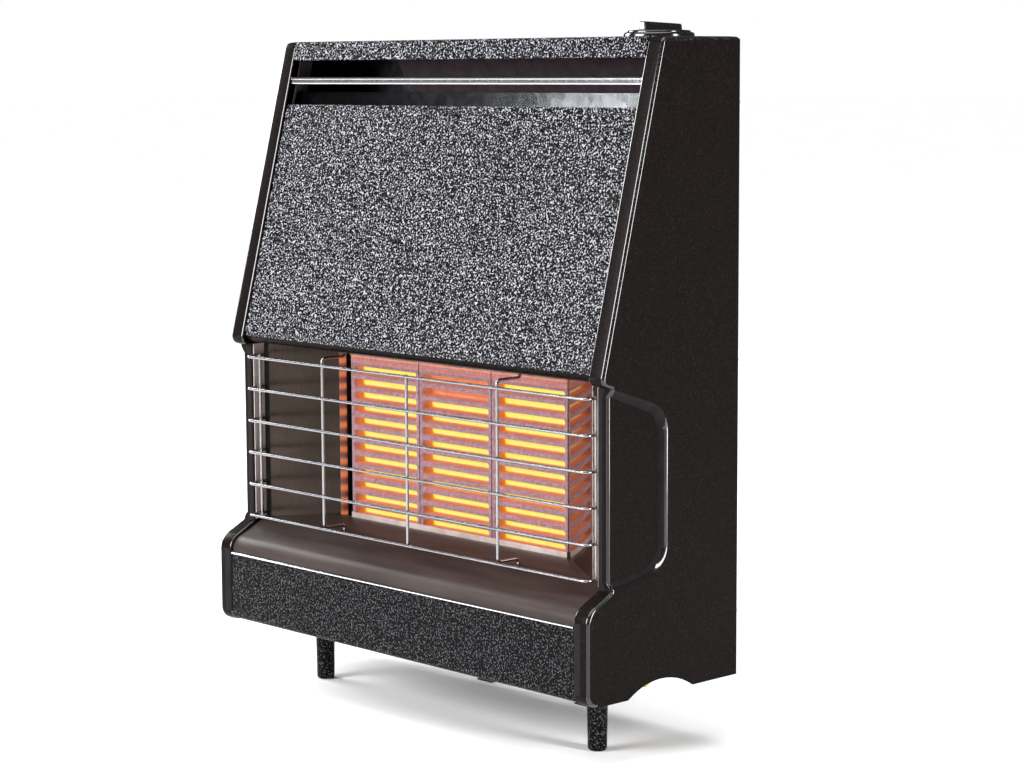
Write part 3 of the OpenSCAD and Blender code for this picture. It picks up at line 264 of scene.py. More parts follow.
def zinc_sheet():
    # Hot-dipped galvanised sheet: dull grey with the crystal spangle of the zinc, about 9 mm across.
    # Painted shade darkens every face except those that look towards the back, so that the louvre shows a
    # dark inside.
    tree, shader, place = material("galvanised_steel_hot_dipped", linear("#8f9396"), metallic=0.9,
                                   roughness=0.42)
    spangle = add(tree, "ShaderNodeTexVoronoi", {"Scale": 1 / (9 * MM)}, {"Vector": place}, out="Color")
    zinc = add(tree, "ShaderNodeValToRGB", {"stops": [(0.1, linear("#85898c")), (0.9, linear("#a3a7aa"))]},
               {"Fac": spangle})
    facing = add(tree, "ShaderNodeTexCoord", out="Normal")
    rearward = add(tree, "ShaderNodeSeparateXYZ", links={"Vector": facing}, out="Y")
    painted_shade = add(tree, "ShaderNodeValToRGB", {"stops": [(0.0, 0.16), (0.2, 1.0)]}, {"Fac": rearward})
    add(tree, "ShaderNodeVectorMath", {"operation": "MULTIPLY"}, {0: zinc, 1: painted_shade},
        into=shader["Base Color"])
    add(tree, "ShaderNodeValToRGB", {"stops": [(0.0, 0.34), (1.0, 0.52)]}, {"Fac": spangle},
        into=shader["Roughness"])


def mottled(name, low, high, roughness, size_mm, relief=0.08, depth_mm=0.2, detail=4.0, **inputs):
    """A finish whose tone drifts in soft patches of a real size, with the same patches as relief."""
    tree, shader, place = material(name, linear(low), roughness=roughness, **inputs)
    patch = patches(tree, place, size_mm * MM, detail, [(0.35, linear(low)), (0.65, linear(high))],
                    shader["Base Color"])
    add(tree, "ShaderNodeBump", {"Strength": relief, "Distance": depth_mm * MM}, {"Height": patch},
        into=shader["Normal"])


def clay_hot():
    # Fired fireclay at work: a gritty lilac-grey biscuit on the ribs, with grains about 1 mm across.
    # Its heat runs from the ribs, by dull red and orange walls, to the yellow floor of each slot.
    c = colours()
    tree, shader, place = material("fireclay_fired_hot", c.clay, roughness=0.9)
    grit = patches(tree, place, 4 * MM, 6.0, [(0.3, linear("#5c464b")), (0.7, c.clay)],
                   shader["Base Color"])
    heat = add(tree, "ShaderNodeUVMap", {"uv_map": "heat"})
    part = add(tree, "ShaderNodeSeparateXYZ", links={"Vector": heat})
    wisps = add(tree, "ShaderNodeTexNoise", {"Scale": 1 / (14 * MM), "Detail": 4.0}, {"Vector": place})
    near = add(tree, "ShaderNodeMath", {"operation": "MULTIPLY_ADD", 1: 0.16}, {0: wisps, 2: part})
    add(tree, "ShaderNodeValToRGB",
        {"stops": [(0.10, linear("#2a1a1d")), (0.24, linear("#5a2a22")), (0.42, linear("#8a3c1c")),
                   (0.62, linear("#b85a1e")), (0.80, c.ember), (0.92, c.glow), (1.0, linear("#f8e24a"))]},
        {"Fac": near}, into=shader["Emission Color"])
    shader["Emission Strength"].default_value = 1.0
    add(tree, "ShaderNodeBump", {"Strength": 0.3, "Distance": 0.4 * MM}, {"Height": grit},
        into=shader["Normal"])


def finishes():
    """Makes every finish of the fire."""
    # Canopy and top, plinth and feet, borders, sides, and the lip of the sides' recess: lit and shaded
    # copies of one hammer finish, with painted flecks that are pale on the canopy and darker, as painted
    # shade, on the plinth, borders and sides
    c = colours()
    hammered("hammer_enamel_stoved_canopy", c.hammer, c.fleck_and_highlight, 0.45, 0.67, 0.35, 0.02, 0.03)
    hammered("hammer_enamel_stoved_case", c.hammer, c.case_fleck_and_highlight, 0.46, 0.68, 0.35, 0.02, 0.0)
    hammered("hammer_enamel_stoved_border", c.hammer, linear("#2c2b2d"), 0.44, 0.66, 0.35, 0.05, 1.0)
    hammered("hammer_enamel_stoved_side", c.side, linear("#191514"), 0.42, 0.66, 0.12, 0.02, 0.0)
    hammered("hammer_enamel_stoved_lip", c.side, linear("#191514"), 0.42, 0.66, 0.12, 0.05, 0.8)
    enamel_brown()
    plated("chromium_plate_bright", "#dcdde0", 0.06)
    plated("nickel_plated_wire_drawn", "#8e8f93", 0.18, 0.10)
    blade_sheet()
    # The left cheek's copy is toned far darker than the right's: heat tint with painted shade
    reflector_sheet("stainless_heat_tinted_painted_shade", "#372f2b", "#2b2521", 0.2)
    reflector_sheet("stainless_polished_straw", "#a08a7d", "#8f7666", 0.04)
    sheet_painted_glow(13.2 * MM)
    zinc_sheet()
    # Aluminised sheet, grey and dulled by heat, and as it leaves the mill
    mottled("aluminised_steel_heat_dulled", "#5a5654", "#77706a", 0.45, 25, Metallic=1.0)
    mottled("aluminised_steel_heat_bloomed", "#b9aaa6", "#a3918b", 0.5, 18, Metallic=0.6)
    mottled("aluminised_steel_mill", "#8b8e90", "#9da0a1", 0.38, 30, Metallic=1.0)
    # Stoved matt black paint, sprayed: even, with a slight cloudiness. It also stands as painted shade on
    # the sides' recess walls and inner upright edges, and on the tap bracket inside the louvre
    mottled("matt_black_paint_and_painted_shade", "#0e0c0c", "#151313", 0.7, 12, Specular_IOR_Level=0.1)
    # The same paint inside the louvre, where warm air has browned and dulled it
    mottled("matt_black_paint_browned", "#40373a", "#4a4042", 0.9, 12, Specular_IOR_Level=0.1)
    # Drab ground-coat enamel, fired, half matt: the lips beside the guard catch a soft light
    mottled("steel_enamelled_drab", "#b3a39e", "#a69690", 0.5, 20)
    # Brass and copper, turned and drawn, a little tarnished
    mottled("brass_turned", "#b08d45", "#c7a65a", 0.28, 8, Metallic=1.0)
    mottled("copper_tube_drawn", "#a5673f", "#8a5738", 0.3, 12, Metallic=1.0)
    mottled("steel_zinc_plated_turned", "#a9abad", "#bfc0c2", 0.3, 5, Metallic=1.0)
    # Pressed board and woven tape of mineral fibre: pale, matt and fluffy
    mottled("mineral_fibre_board_pressed", "#d8cdb8", "#c4b69c", 0.95, 6, 0.4, 0.6, 8.0)
    mottled("glass_fibre_gasket_woven", "#cfc9bb", "#b8b1a1", 0.95, 3, 0.4, 0.6, 8.0)
    # Mouldings in plastic and rubber, with the fine grain of their tools
    mottled("phenolic_moulded_black", "#0e0d0e", "#171616", 0.16, 3, 0.05, 0.1, IOR=1.6)
    mottled("acetal_moulded_white", "#d9d5ca", "#cbc6b8", 0.4, 3, 0.05, 0.1)
    mottled("silicone_sleeve_extruded", "#8f3a24", "#7c2f1d", 0.55, 3, 0.05, 0.1)
    mottled("steatite_glazed", "#e6e1d6", "#d7d0c2", 0.2, 6, 0.05, 0.1, IOR=1.52)
    clay_hot()


# Outlines and meshes

def rounded(corners, closed=False, steps=10):
    """Points of a line whose corners are (across, up, radius)."""
    count = len(corners)
    out = []
    for i, (x, y, r) in enumerate(corners):
        here = Vector((x, y))
        if r == 0 or (not closed and i in (0, count - 1)):
            out.append(here)
            continue
        u = (Vector(corners[i - 1][:2]) - here).normalized()
        v = (Vector(corners[(i + 1) % count][:2]) - here).normalized()
        half = acos(max(-1, min(1, u.dot(v)))) / 2
        mid = here + (u + v).normalized() * r / sin(half)
        a = here + u * r / tan(half) - mid
        b = here + v * r / tan(half) - mid
        start = atan2(a.y, a.x)
        turn = (atan2(b.y, b.x) - start + pi) % (2 * pi) - pi
        out += [mid + r * Vector((cos(start + turn * k / steps), sin(start + turn * k / steps)))
                for k in range(steps + 1)]
    return out


def shifted(points, t):
    """The line moved to its left by t."""
    out = []
    for i, p in enumerate(points):
        before = (p - points[i - 1] if i else points[1] - p).normalized()
        after = (points[i + 1] - p).normalized() if i < len(points) - 1 else before
        a = Vector((-before.y, before.x))
        m = (a + Vector((-after.y, after.x))).normalized()
        out.append(p + m * t / m.dot(a))
    return out


def bent(corners, t, steps=10):
    """The closed outline of a bent sheet."""
    line = rounded(corners, steps=steps)
    return line + shifted(line, t)[::-1]


def new_object(name, data):
    """A new object in the scene for its mesh, light or camera."""
    made = bpy.data.objects.new(name, data)
    bpy.context.scene.collection.objects.link(made)
    return made


def finish_mesh(name, bm, finish, angle=32.0, bevel_mm=0.0, more=()):
    """A smooth-shaded object from a bmesh, with its finish and more finishes for some faces."""
    bmesh.ops.remove_doubles(bm, verts=bm.verts, dist=0.01 * MM)
    bmesh.ops.recalc_face_normals(bm, faces=bm.faces)
    mesh = bpy.data.meshes.new(name)
    bm.to_mesh(mesh)
    bm.free()
    piece = new_object(name, mesh)
    mesh.shade_smooth()
    mesh.set_sharp_from_angle(angle=radians(angle))
    for one in (finish, *more):
        mesh.materials.append(bpy.data.materials[one])
    if bevel_mm:
        rim = piece.modifiers.new("rounded_edges", "BEVEL")
        rim.width = bevel_mm * MM
        rim.segments = 3
        rim.limit_method = "ANGLE"
        rim.angle_limit = radians(40)
        rim.harden_normals = True
    return piece


def put(piece, slot, *nodes, body="root"):
    """Says which body and CAD nodes a piece goes with; its slot is not used."""
    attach(piece, body)
    if nodes:
        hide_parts(*nodes)
    return piece


def strip(bm, loops, closed=False):
    """Quads between successive rows of vertices; returns the faces."""
    faces = []
    for a, b in zip(loops, loops[1:]):
        last = len(a) if closed else len(a) - 1
        for i in range(last):
            j = (i + 1) % len(a)
            faces.append(bm.faces.new((a[i], a[j], b[j], b[i])))
    return faces


def solid(bm, loops):
    """Joins successive closed rows of vertices and closes both ends."""
    strip(bm, loops, closed=True)
    for end in (loops[0], loops[-1]):
        bm.faces.new(end)


def extrude_x(bm, outline, x0, x1):
    """A prism along X from an outline in Y and Z of the case."""
    solid(bm, [[bm.verts.new((x, FRONT + p.x, BOTTOM + p.y)) for p in outline] for x in (x0, x1)])


def sheet_piece(name, outline, half, finish, bevel_mm=0.3, angle=32.0):
    bm = bmesh.new()
    extrude_x(bm, outline, -half, half)
    return finish_mesh(name, bm, finish, angle, bevel_mm)


def lathe(bm, profile, centre, segments=64):
    """Turns a profile of (radius, height) about the vertical through a point."""
    rings = []
    for r, z in profile:
        rings.append([bm.verts.new((centre[0] + r * cos(2 * pi * k / segments),
                                    centre[1] + r * sin(2 * pi * k / segments), centre[2] + z))
                      for k in range(segments)])
    strip(bm, rings, closed=True)
    return rings


def low_middle(low, high):
    """The middle of the lower face of a box."""
    return (low[0] + high[0]) / 2, (low[1] + high[1]) / 2, low[2]


def smooth(t):
    t = max(0.0, min(1.0, t))
    return t * t * (3 - 2 * t)


def wall_drop(t):
    """Share of the recess's depth reached part of the way down its wall: a soft lip, then steep."""
    return max(0.0, min(1.0, t)) ** 1.7


def face_in(z):
    """How far the sloping front lies behind the plinth's face at a height."""
    s = sizes()
    return s.canopy_in + (CASE_D - s.top_d - s.canopy_in) * (z - s.canopy_h) / (CASE_H - s.canopy_h)


# Case

# The fender's rear part, from where to where it rises, and how it falls away in front, per length
RISE_FROM, RISE_LOW, RISE_TO, RISE_HIGH, FALL = 48 * MM, 106 * MM, 80 * MM, 111 * MM, 0.156


def fender_top(back):
    """Height that clears the fender at a distance behind the front."""
    share = max(0.0, min(1.0, (back - RISE_FROM) / (RISE_TO - RISE_FROM)))
    return RISE_LOW + (RISE_HIGH - RISE_LOW) * share - FALL * max(0.0, RISE_FROM - back)


def side_panel(name, side):
    """One side: border, sloping front, step, recess, rolled top edge and back flange."""
    s = sizes()
    opening_low = s.step_h + STEP_SLOPE * s.opening_in
    opening_top = s.canopy_h - LIP_SLOPE * (s.opening_in - s.canopy_in)
    heel_in = 14 * MM
    levels = 8
    insets = [s.recess_wall * k / levels for k in range(levels + 1)]
    low_edge = [(s.opening_in, opening_low + d, 0) for d in insets]
    high_edge = [(s.opening_in, opening_top - d, 0) for d in reversed(insets)]
    path = [(heel_in, 0, 0), (0, 0, 13 * MM), (0, s.step_h, 19 * MM), *low_edge, *high_edge,
            (s.canopy_in, s.canopy_h, 8 * MM), (CASE_D - s.top_d, CASE_H, 8.4 * MM),
            (CASE_D, CASE_H, 4 * MM), (CASE_D, 0, 0)]
    line = rounded(path)
    drop = []
    for p in line:
        inside = min(p.y - opening_low, opening_top - p.y)
        at_edge = abs(p.x - s.opening_in) < 0.01 * MM
        drop.append(s.recess_t * wall_drop(inside / s.recess_wall) if at_edge else 0.0)

    def outer_r(p):
        """The outer edge's radius, which grows along the flat top."""
        fade = 14 * MM
        on_top = smooth((p.x - (CASE_D - s.top_d)) / fade) * smooth((CASE_D - 8 * MM - p.x) / fade)
        if p.y < CASE_H - 1 * MM:
            on_top = 0.0
        base = s.bead_r if p.x < CASE_D - 1 * MM else 2 * MM
        return base + (s.top_r - s.bead_r) * on_top

    def inner_x(p):
        """How far from the middle the edge ends: further at the back, where the back panel fits in."""
        return INNER_HALF + (7 * MM if p.x > CASE_D - 0.5 * MM and p.y < CASE_H - 3 * MM else 0.0)

    def turn_in(p):
        """How deep the edge turns in, as a border in front and a plain hem elsewhere."""
        return s.bead_t if p.x < CASE_D - s.top_d - 2 * MM else 1.5 * MM

    radii = [outer_r(p) for p in line]
    steps = 6
    rows = []
    ri = s.bead_inner_r

    def row(across, inward):
        """One row of vertices: across(i) is X, inward(i) the distance from the outline."""
        far = [p + lean[i] * inward(i) for i, p in enumerate(line)]
        rows.append([bm.verts.new((side * across(i), FRONT + q.x, BOTTOM + q.y))
                     for i, q in enumerate(far)])

    lean = [q - p for p, q in zip(line, shifted(line, -1.0))]
    bm = bmesh.new()
    row(lambda i: inner_x(line[i]), lambda i: max(turn_in(line[i]), 1.5 * MM))
    row(lambda i: inner_x(line[i]), lambda i: min(ri, turn_in(line[i])))
    for k in range(1, steps + 1):
        a = pi / 2 * k / steps
        row(lambda i: inner_x(line[i]) + ri * (1 - cos(a)),
            lambda i: 0.35 * MM + (min(ri, turn_in(line[i])) - 0.35 * MM) * (1 - sin(a)))
    row(lambda i: (inner_x(line[i]) + HALF_W - drop[i]) / 2, lambda i: 0.0)
    for k in range(steps + 3):
        a = pi / 2 * k / (steps + 2)
        row(lambda i: HALF_W - drop[i] - radii[i] * (1 - sin(a)),
            lambda i: 0.35 * MM * (1 - sin(a)) + radii[i] * (1 - cos(a)))
    strip(bm, rows)
    rim = rows[-1]

    run = s.recess_back - s.opening_in
    low = [i for i, p in enumerate(line) if abs(p.x - s.opening_in) < 0.01 * MM]
    low_ids, high_ids = low[:levels + 1], low[-levels - 1:][::-1]
    loops = []
    for k, d in enumerate(insets):
        far = s.recess_back - d
        corners = rounded([
            (s.opening_in, opening_low + d, 0),
            (far, opening_low + RECESS_SLOPE * run + d, s.recess_r - d / 2),
            (far, opening_top - LIP_SLOPE * run - d, s.recess_r - d / 2),
            (s.opening_in, opening_top - d, 0)], steps=12)[1:-1]
        x = side * (HALF_W - s.recess_t * wall_drop(k / levels))
        inner = [bm.verts.new((x, FRONT + p.x, BOTTOM + p.y)) for p in corners]
        loops.append([rim[low_ids[k]], *inner, rim[high_ids[k]]])
    strip(bm, loops)
    between = [rim[i] for i in low if low_ids[-1] < i < high_ids[-1]]
    bm.faces.new(loops[-1] + between[::-1])
    arch_r, arch_mid, arch_h, arch_half, arch_steps = 77.6 * MM, 95 * MM, 13 * MM, radians(33.6), 12
    arch = []
    for k in range(arch_steps + 1):
        a = arch_half * (2 * k / arch_steps - 1)
        arch.append(bm.verts.new((side * HALF_W, FRONT + arch_mid - arch_r * sin(a),
                                  BOTTOM + max(0.0, arch_h - arch_r * (1 - cos(a))))))
    heel = bm.verts.new((side * HALF_W, FRONT + heel_in, BOTTOM))
    outline = rim[:low_ids[0] + 1] + loops[0][1:-1] + rim[high_ids[0]:] + arch + [heel]
    bm.faces.new(outline)
    plain_face, border, lip, black = range(4)
    piece = finish_mesh(name, bm, "hammer_enamel_stoved_side", 35, more=(
        "hammer_enamel_stoved_border", "hammer_enamel_stoved_lip", "matt_black_paint_and_painted_shade"))
    for face in piece.data.polygons:
        at, lean = face.center, abs(face.normal.x)
        if lean >= 0.985:
            continue
        back, beside = at.y - FRONT, opening_low < at.z - BOTTOM < opening_top
        if beside and s.opening_in + 5 * MM < back < CASE_D - 20 * MM:
            # Painted shade: the recess's wall gets matt black down to the lip, which keeps a glossy coat
            # that catches the light
            face.material_index = lip if lean > 0.8 and face.normal.z > -0.12 else black
        elif abs(face.normal.z) < 0.1 and back < s.opening_in + 5 * MM:
            # Painted shade: the inner halves of the upright edges get matt black, and a glossy coat draws a
            # bright line where they turn to the side
            outer = lip if lean > 0.3 else plain_face
            face.material_index = black if abs(at.x) < BORDER_MID else outer
        else:
            face.material_index = border if lean > 0.12 else plain_face
    wall = piece.modifiers.new("sheet_thickness", "SOLIDIFY")
    wall.thickness = s.sheet
    wall.offset = -1
    # Keeps the large flat sheet evenly lit up to its rounded edges
    flat = piece.modifiers.new("flat_sheet_normals", "WEIGHTED_NORMAL")
    flat.keep_sharp = True
    return put(piece, "hammered_black", "side_panel_" + ("right" if side > 0 else "left"))


class GASFIRE_OT_sides(bpy.types.Operator):
    """Adds the two enamelled sides"""
    bl_idname = "gas_fire.sides"
    bl_label = "Sides"

    def execute(self, context):
        side_panel("side_left", -1)
        side_panel("side_right", 1)
        return {"FINISHED"}


class GASFIRE_OT_top(bpy.types.Operator):
    """Adds the top with its hammered strip, and the sloping canopy"""
    bl_idname = "gas_fire.top"
    bl_label = "Top and canopy"

    def execute(self, context):
        s = sizes()
        half = INNER_HALF - GAP
        louvre_top = CASE_H - s.header_h
        louvre_low = louvre_top - s.louvre_h
        top = sheet_piece("top_sheet", bent([
            (CASE_D, CASE_H - 9.2 * MM, 0), (CASE_D, CASE_H, 3 * MM), (CASE_D - s.top_d, CASE_H, 4 * MM),
            (face_in(louvre_top), louvre_top, 2 * MM), (face_in(louvre_top) + 8 * MM, louvre_top, 0)],
            s.sheet), half, "hammer_enamel_stoved_canopy")
        put(top, "hammered_black", "top_panel")
        front = s.canopy_in + s.canopy_recess
        canopy = sheet_piece("canopy_sheet", bent([
            (face_in(louvre_low) + 11 * MM, louvre_low, 0),
            (face_in(louvre_low) + s.canopy_recess, louvre_low, 2 * MM),
            (front, s.canopy_h, 11 * MM), (front + 26 * MM, s.canopy_h, 0)], s.sheet, steps=16),
            half, "hammer_enamel_stoved_canopy")
        # Painted shade: the rolled lower edge, which turns away from the light, gets the sides' darker
        # finish without pale flecks
        canopy.data.materials.append(bpy.data.materials["hammer_enamel_stoved_side"])
        for face in canopy.data.polygons:
            face.material_index = int(face.normal.z < -0.3)
        put(canopy, "hammered_black", "canopy_panel")
        return {"FINISHED"}


class GASFIRE_OT_louvre(bpy.types.Operator):
    """Adds the bright louvre bar, with its groove"""
    bl_idname = "gas_fire.louvre"
    bl_label = "Louvre"

    def execute(self, context):
        low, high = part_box("louvre_bar")
        mid = (low[2] + high[2]) / 2 - BOTTOM
        y, back = low[1] - FRONT, high[1] - FRONT
        h = (high[2] - low[2]) / 2
        groove, groove_deep, edge_r = 1.1 * MM, 1.2 * MM, 1.6 * MM
        bar = sheet_piece("louvre_bar_rolled", rounded([
            (back, mid + h, 1 * MM), (y, mid + h, edge_r), (y, mid + groove, 0.7 * MM),
            (y + groove_deep, mid + groove, 0), (y + groove_deep, mid - groove, 0),
            (y, mid - groove, 0.7 * MM), (y, mid - h, edge_r), (back, mid - h, 1 * MM)],
            closed=True, steps=6), high[0], "chromium_plate_bright", bevel_mm=0)
        put(bar, "bright_trim", "louvre_bar")
        return {"FINISHED"}


class GASFIRE_OT_plinth(bpy.types.Operator):
    """Adds the plinth's panel, the bright strip and the curved fender"""
    bl_idname = "gas_fire.plinth"
    bl_label = "Plinth and fender"

    def execute(self, context):
        s = sizes()
        half = INNER_HALF - GAP
        face, low_edge = 1.5 * MM, 3 * MM
        plinth = sheet_piece("plinth_sheet", bent([
            (face + 10 * MM, s.plinth_h, 0), (face, s.plinth_h, 2 * MM), (face, low_edge, 6 * MM),
            (face + 16 * MM, low_edge, 0)], s.sheet, steps=12),
            half, "hammer_enamel_stoved_case")
        put(plinth, "hammered_black", "plinth_panel")
        fender = sheet_piece("fender_sheet", bent([
            (3 * MM, s.plinth_h, 0), (3 * MM, 84.5 * MM, 16 * MM), (RISE_FROM, RISE_LOW, 30 * MM),
            (RISE_TO, RISE_HIGH, 12 * MM), (87.7 * MM, RISE_HIGH, 0)], -1 * MM, steps=16),
            half, "vitreous_enamel_brown_fired")
        put(fender, "brown_enamel", "fender")
        low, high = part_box("plinth_trim")
        y, back, z0, z1 = low[1] - FRONT, high[1] - FRONT, low[2] - BOTTOM, high[2] - BOTTOM
        trim = sheet_piece("plinth_strip", rounded([
            (back, z1, 0), (y, z1, 0.8 * MM), (y, z0, 0.8 * MM), (back, z0, 0)], closed=True, steps=6),
            high[0], "chromium_plate_bright", bevel_mm=0)
        put(trim, "bright_trim", "plinth_trim")
        return {"FINISHED"}


# Fire

def slot_ring(bm, mid, half_w, half_h, y, low_lip, high_lip, side_lip):
    """Vertices of a rounded slot's outline at a depth, grown by its lips."""
    corner = 2.4 * MM
    reach, low, high = half_w + side_lip, mid[1] - half_h - low_lip, mid[1] + half_h + high_lip
    points = rounded([(mid[0] - reach, low, corner), (mid[0] + reach, low, corner),
                      (mid[0] + reach, high, corner), (mid[0] - reach, high, corner)], closed=True, steps=4)
    spread = []
    for i, p in enumerate(points):
        after = points[(i + 1) % len(points)]
        parts = 6 if (after - p).length > 20 * MM else 1
        spread += [p.lerp(after, k / parts) for k in range(parts)]
    return [bm.verts.new((p.x, y, p.y)) for p in spread]


def slot_cell(bm, heat, x0, x1, z0, z1, y, s, warmth):
    """One pitch of a radiant's front: a slot with a sloping lower lip and a glowing floor."""
    mid = ((x0 + x1) / 2, (z0 + z1) / 2 - 0.3 * MM)
    half_w, half_h = s.slot_w / 2, s.slot_h / 2
    # (depth, lower lip, upper lip, side lip, heat), with lengths in mm
    shape = [(0, 2.2, 0.7, 1.6, 0.10), (0.7, 1.2, 0.25, 0.9, 0.26), (2.4, 0.3, 0, 0.3, 0.40),
             (6, 0, 0, 0, 0.52), (11, 0, 0, 0, 0.62), (12.6, -0.2, -0.2, -0.3, 0.78),
             (12.9, -1.0, -0.7, -2.2, 0.98), (13, -1.6, -1.4, -6, 1.0)]
    rings = [slot_ring(bm, mid, half_w, half_h, y + d * MM, low * MM, high * MM, side * MM)
             for d, low, high, side, _ in shape]
    warm = {}
    for ring, (*_, h) in zip(rings, shape):
        for v in ring:
            warm[v] = h if h < 0.5 else 0.5 + (h - 0.5) * warmth
    faces = strip(bm, rings, closed=True) + [bm.faces.new(rings[-1])]
    outer = []
    for v in rings[0]:
        at = v.co
        beyond = abs(at.x - mid[0]) > half_w - 2 * MM
        px = (x1 if at.x > mid[0] else x0) if beyond else at.x
        outer.append(bm.verts.new((px, y, z1 if at.z > mid[1] else z0)))
    faces += strip(bm, [outer, rings[0]], closed=True)
    for face in faces:
        for loop in face.loops:
            loop[heat].uv = (warm.get(loop.vert, 0.03), warmth)


def radiant(name, node, place):
    s = sizes()
    low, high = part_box(node)
    y = low[1]
    bm = bmesh.new()
    heat = bm.loops.layers.uv.new("heat")
    foot, head = s.ladder_low, s.ladder_high
    slots = 12
    pitch = (high[2] - low[2] - foot - head) / slots
    for i in range(slots):
        z0 = low[2] + foot + i * pitch
        # The slots differ a little, and the centre radiant's two highest are dull
        warmth = 0.3 if place == 1 and i > 9 else 0.97 + 0.03 * sin(5 * i + 2 * place)
        slot_cell(bm, heat, low[0], high[0], z0, z0 + pitch, y, s, warmth)

    def quad(*points, warm=0.0):
        face = bm.faces.new([bm.verts.new(p) for p in points])
        for loop in face.loops:
            loop[heat].uv = (warm, 1)

    brow = high[2] - 0.6 * head
    for z0, z1, warm in ((high[2] - head, brow, 0.35), (brow, high[2], 0.6)):
        quad((low[0], y, z0), (high[0], y, z0), (high[0], y, z1), (low[0], y, z1), warm=warm)
    for x in (low[0], high[0]):
        quad((x, y, low[2]), (x, high[1], low[2]), (x, high[1], high[2]), (x, y, high[2]))
    for z in (low[2], high[2]):
        quad((low[0], y, z), (high[0], y, z), (high[0], high[1], z), (low[0], high[1], z))
    quad((low[0], high[1], low[2]), (high[0], high[1], low[2]), (high[0], high[1], high[2]),
         (low[0], high[1], high[2]))
    put(finish_mesh(name, bm, "fireclay_fired_hot", angle=45), "clay_radiant", node)


class GASFIRE_OT_radiants(bpy.types.Operator):
    """Adds the three glowing fireclay radiants"""
    bl_idname = "gas_fire.radiants"
    bl_label = "Radiants"

    def execute(self, context):
        for place, word in enumerate(("left", "centre", "right")):
            radiant("fireclay_" + word, "radiant_" + word, place)
        return {"FINISHED"}


class GASFIRE_OT_reflector(bpy.types.Operator):
    """Adds the polished sides of the reflector, with their black flanges and lips"""
    bl_idname = "gas_fire.reflector"
    bl_label = "Reflector"

    def execute(self, context):
        s = sizes()
        flange, lip, edge, deep = 48 * MM, 33.5 * MM, INNER_HALF - GAP, 115 * MM
        # Left end: its curl, its bends, and how far back its painted glow starts and it goes black
        curl_x, curl_bend, slope_x = 169.9 * MM, 88.4 * MM, 242.2 * MM
        painted_glow_from, black_from = 84 * MM, 91 * MM
        # Right end: its width per depth
        splay = 1.79
        for side, word in ((-1, "left"), (1, "right")):
            low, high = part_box("reflector_" + word)
            clay_low, clay_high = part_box("radiant_" + word)
            face, meet = clay_low[1] - FRONT, clay_high[0] + 1.3 * MM
            # Seen from the right, the left end curls behind the radiants and the right end meets them
            if side < 0:
                bend = [(curl_x, deep, 0), (curl_x, curl_bend, 9 * MM), (slope_x, flange, 2 * MM)]
            else:
                start = face + 1 * MM
                bend = [(meet, deep, 0), (meet, start, 1.5 * MM),
                        (meet + splay * (start - flange), flange, 2 * MM)]
            outline = bent([*bend, (edge, flange, 1.5 * MM), (edge, lip, 0)], -1 * MM, steps=14)
            bm = bmesh.new()
            rows = []
            for share in (0.0, 1.0):
                row = []
                for p in outline:
                    z_low = BOTTOM + fender_top(p.y) + GAP
                    z_high = high[2] if p.y > flange else min(high[2], BOTTOM + s.canopy_h - 1.5 * MM)
                    row.append(bm.verts.new((side * p.x, FRONT + p.y, z_low + (z_high - z_low) * share)))
                rows.append(row)
            solid(bm, rows)
            # The left cheek takes the darker copy, toned down as painted shade
            finish = "stainless_polished_straw" if side > 0 else "stainless_heat_tinted_painted_shade"
            black, drab, painted_glow = 1, 2, 3
            piece = finish_mesh("cheek_" + word, bm, finish, 30, more=(
                "matt_black_paint_and_painted_shade", "steel_enamelled_drab", "stainless_painted_glow"))
            for part in piece.data.polygons:
                across, back = abs(part.center.x), part.center.y - FRONT
                if back < flange - 1.2 * MM:
                    part.material_index = drab
                elif across > bend[2][0] + 0.5 * MM or (side < 0 and back > black_from):
                    part.material_index = black
                # Painted reflection of the radiants' glow on the curl behind them
                elif side < 0 and back > painted_glow_from:
                    part.material_index = painted_glow
            put(piece, "reflector", "reflector_" + word)
        return {"FINISHED"}


# Feet and controls

class GASFIRE_OT_feet(bpy.types.Operator):
    """Adds the two tapered front feet with their studs"""
    bl_idname = "gas_fire.feet"
    bl_label = "Front feet"

    def execute(self, context):
        for word in ("left", "right"):
            low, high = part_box("foot_" + word)
            r, stud_r, body, height = (high[0] - low[0]) / 2, 4 * MM, 73 * MM, high[2] - low[2]
            outline = rounded([(0, 0, 0), (0.86 * r, 0, 3 * MM), (r, body, 1.5 * MM), (stud_r, body, 0),
                               (stud_r, height, 0.5 * MM), (0, height, 0)], steps=8)
            bm = bmesh.new()
            lathe(bm, [(max(p.x, 0.001 * MM), p.y) for p in outline], low_middle(low, high), 48)
            piece = finish_mesh("foot_turned_" + word, bm, "hammer_enamel_stoved_case", 40)
            put(piece, "hammered_black", "foot_" + word, body="foot_" + word)
        return {"FINISHED"}


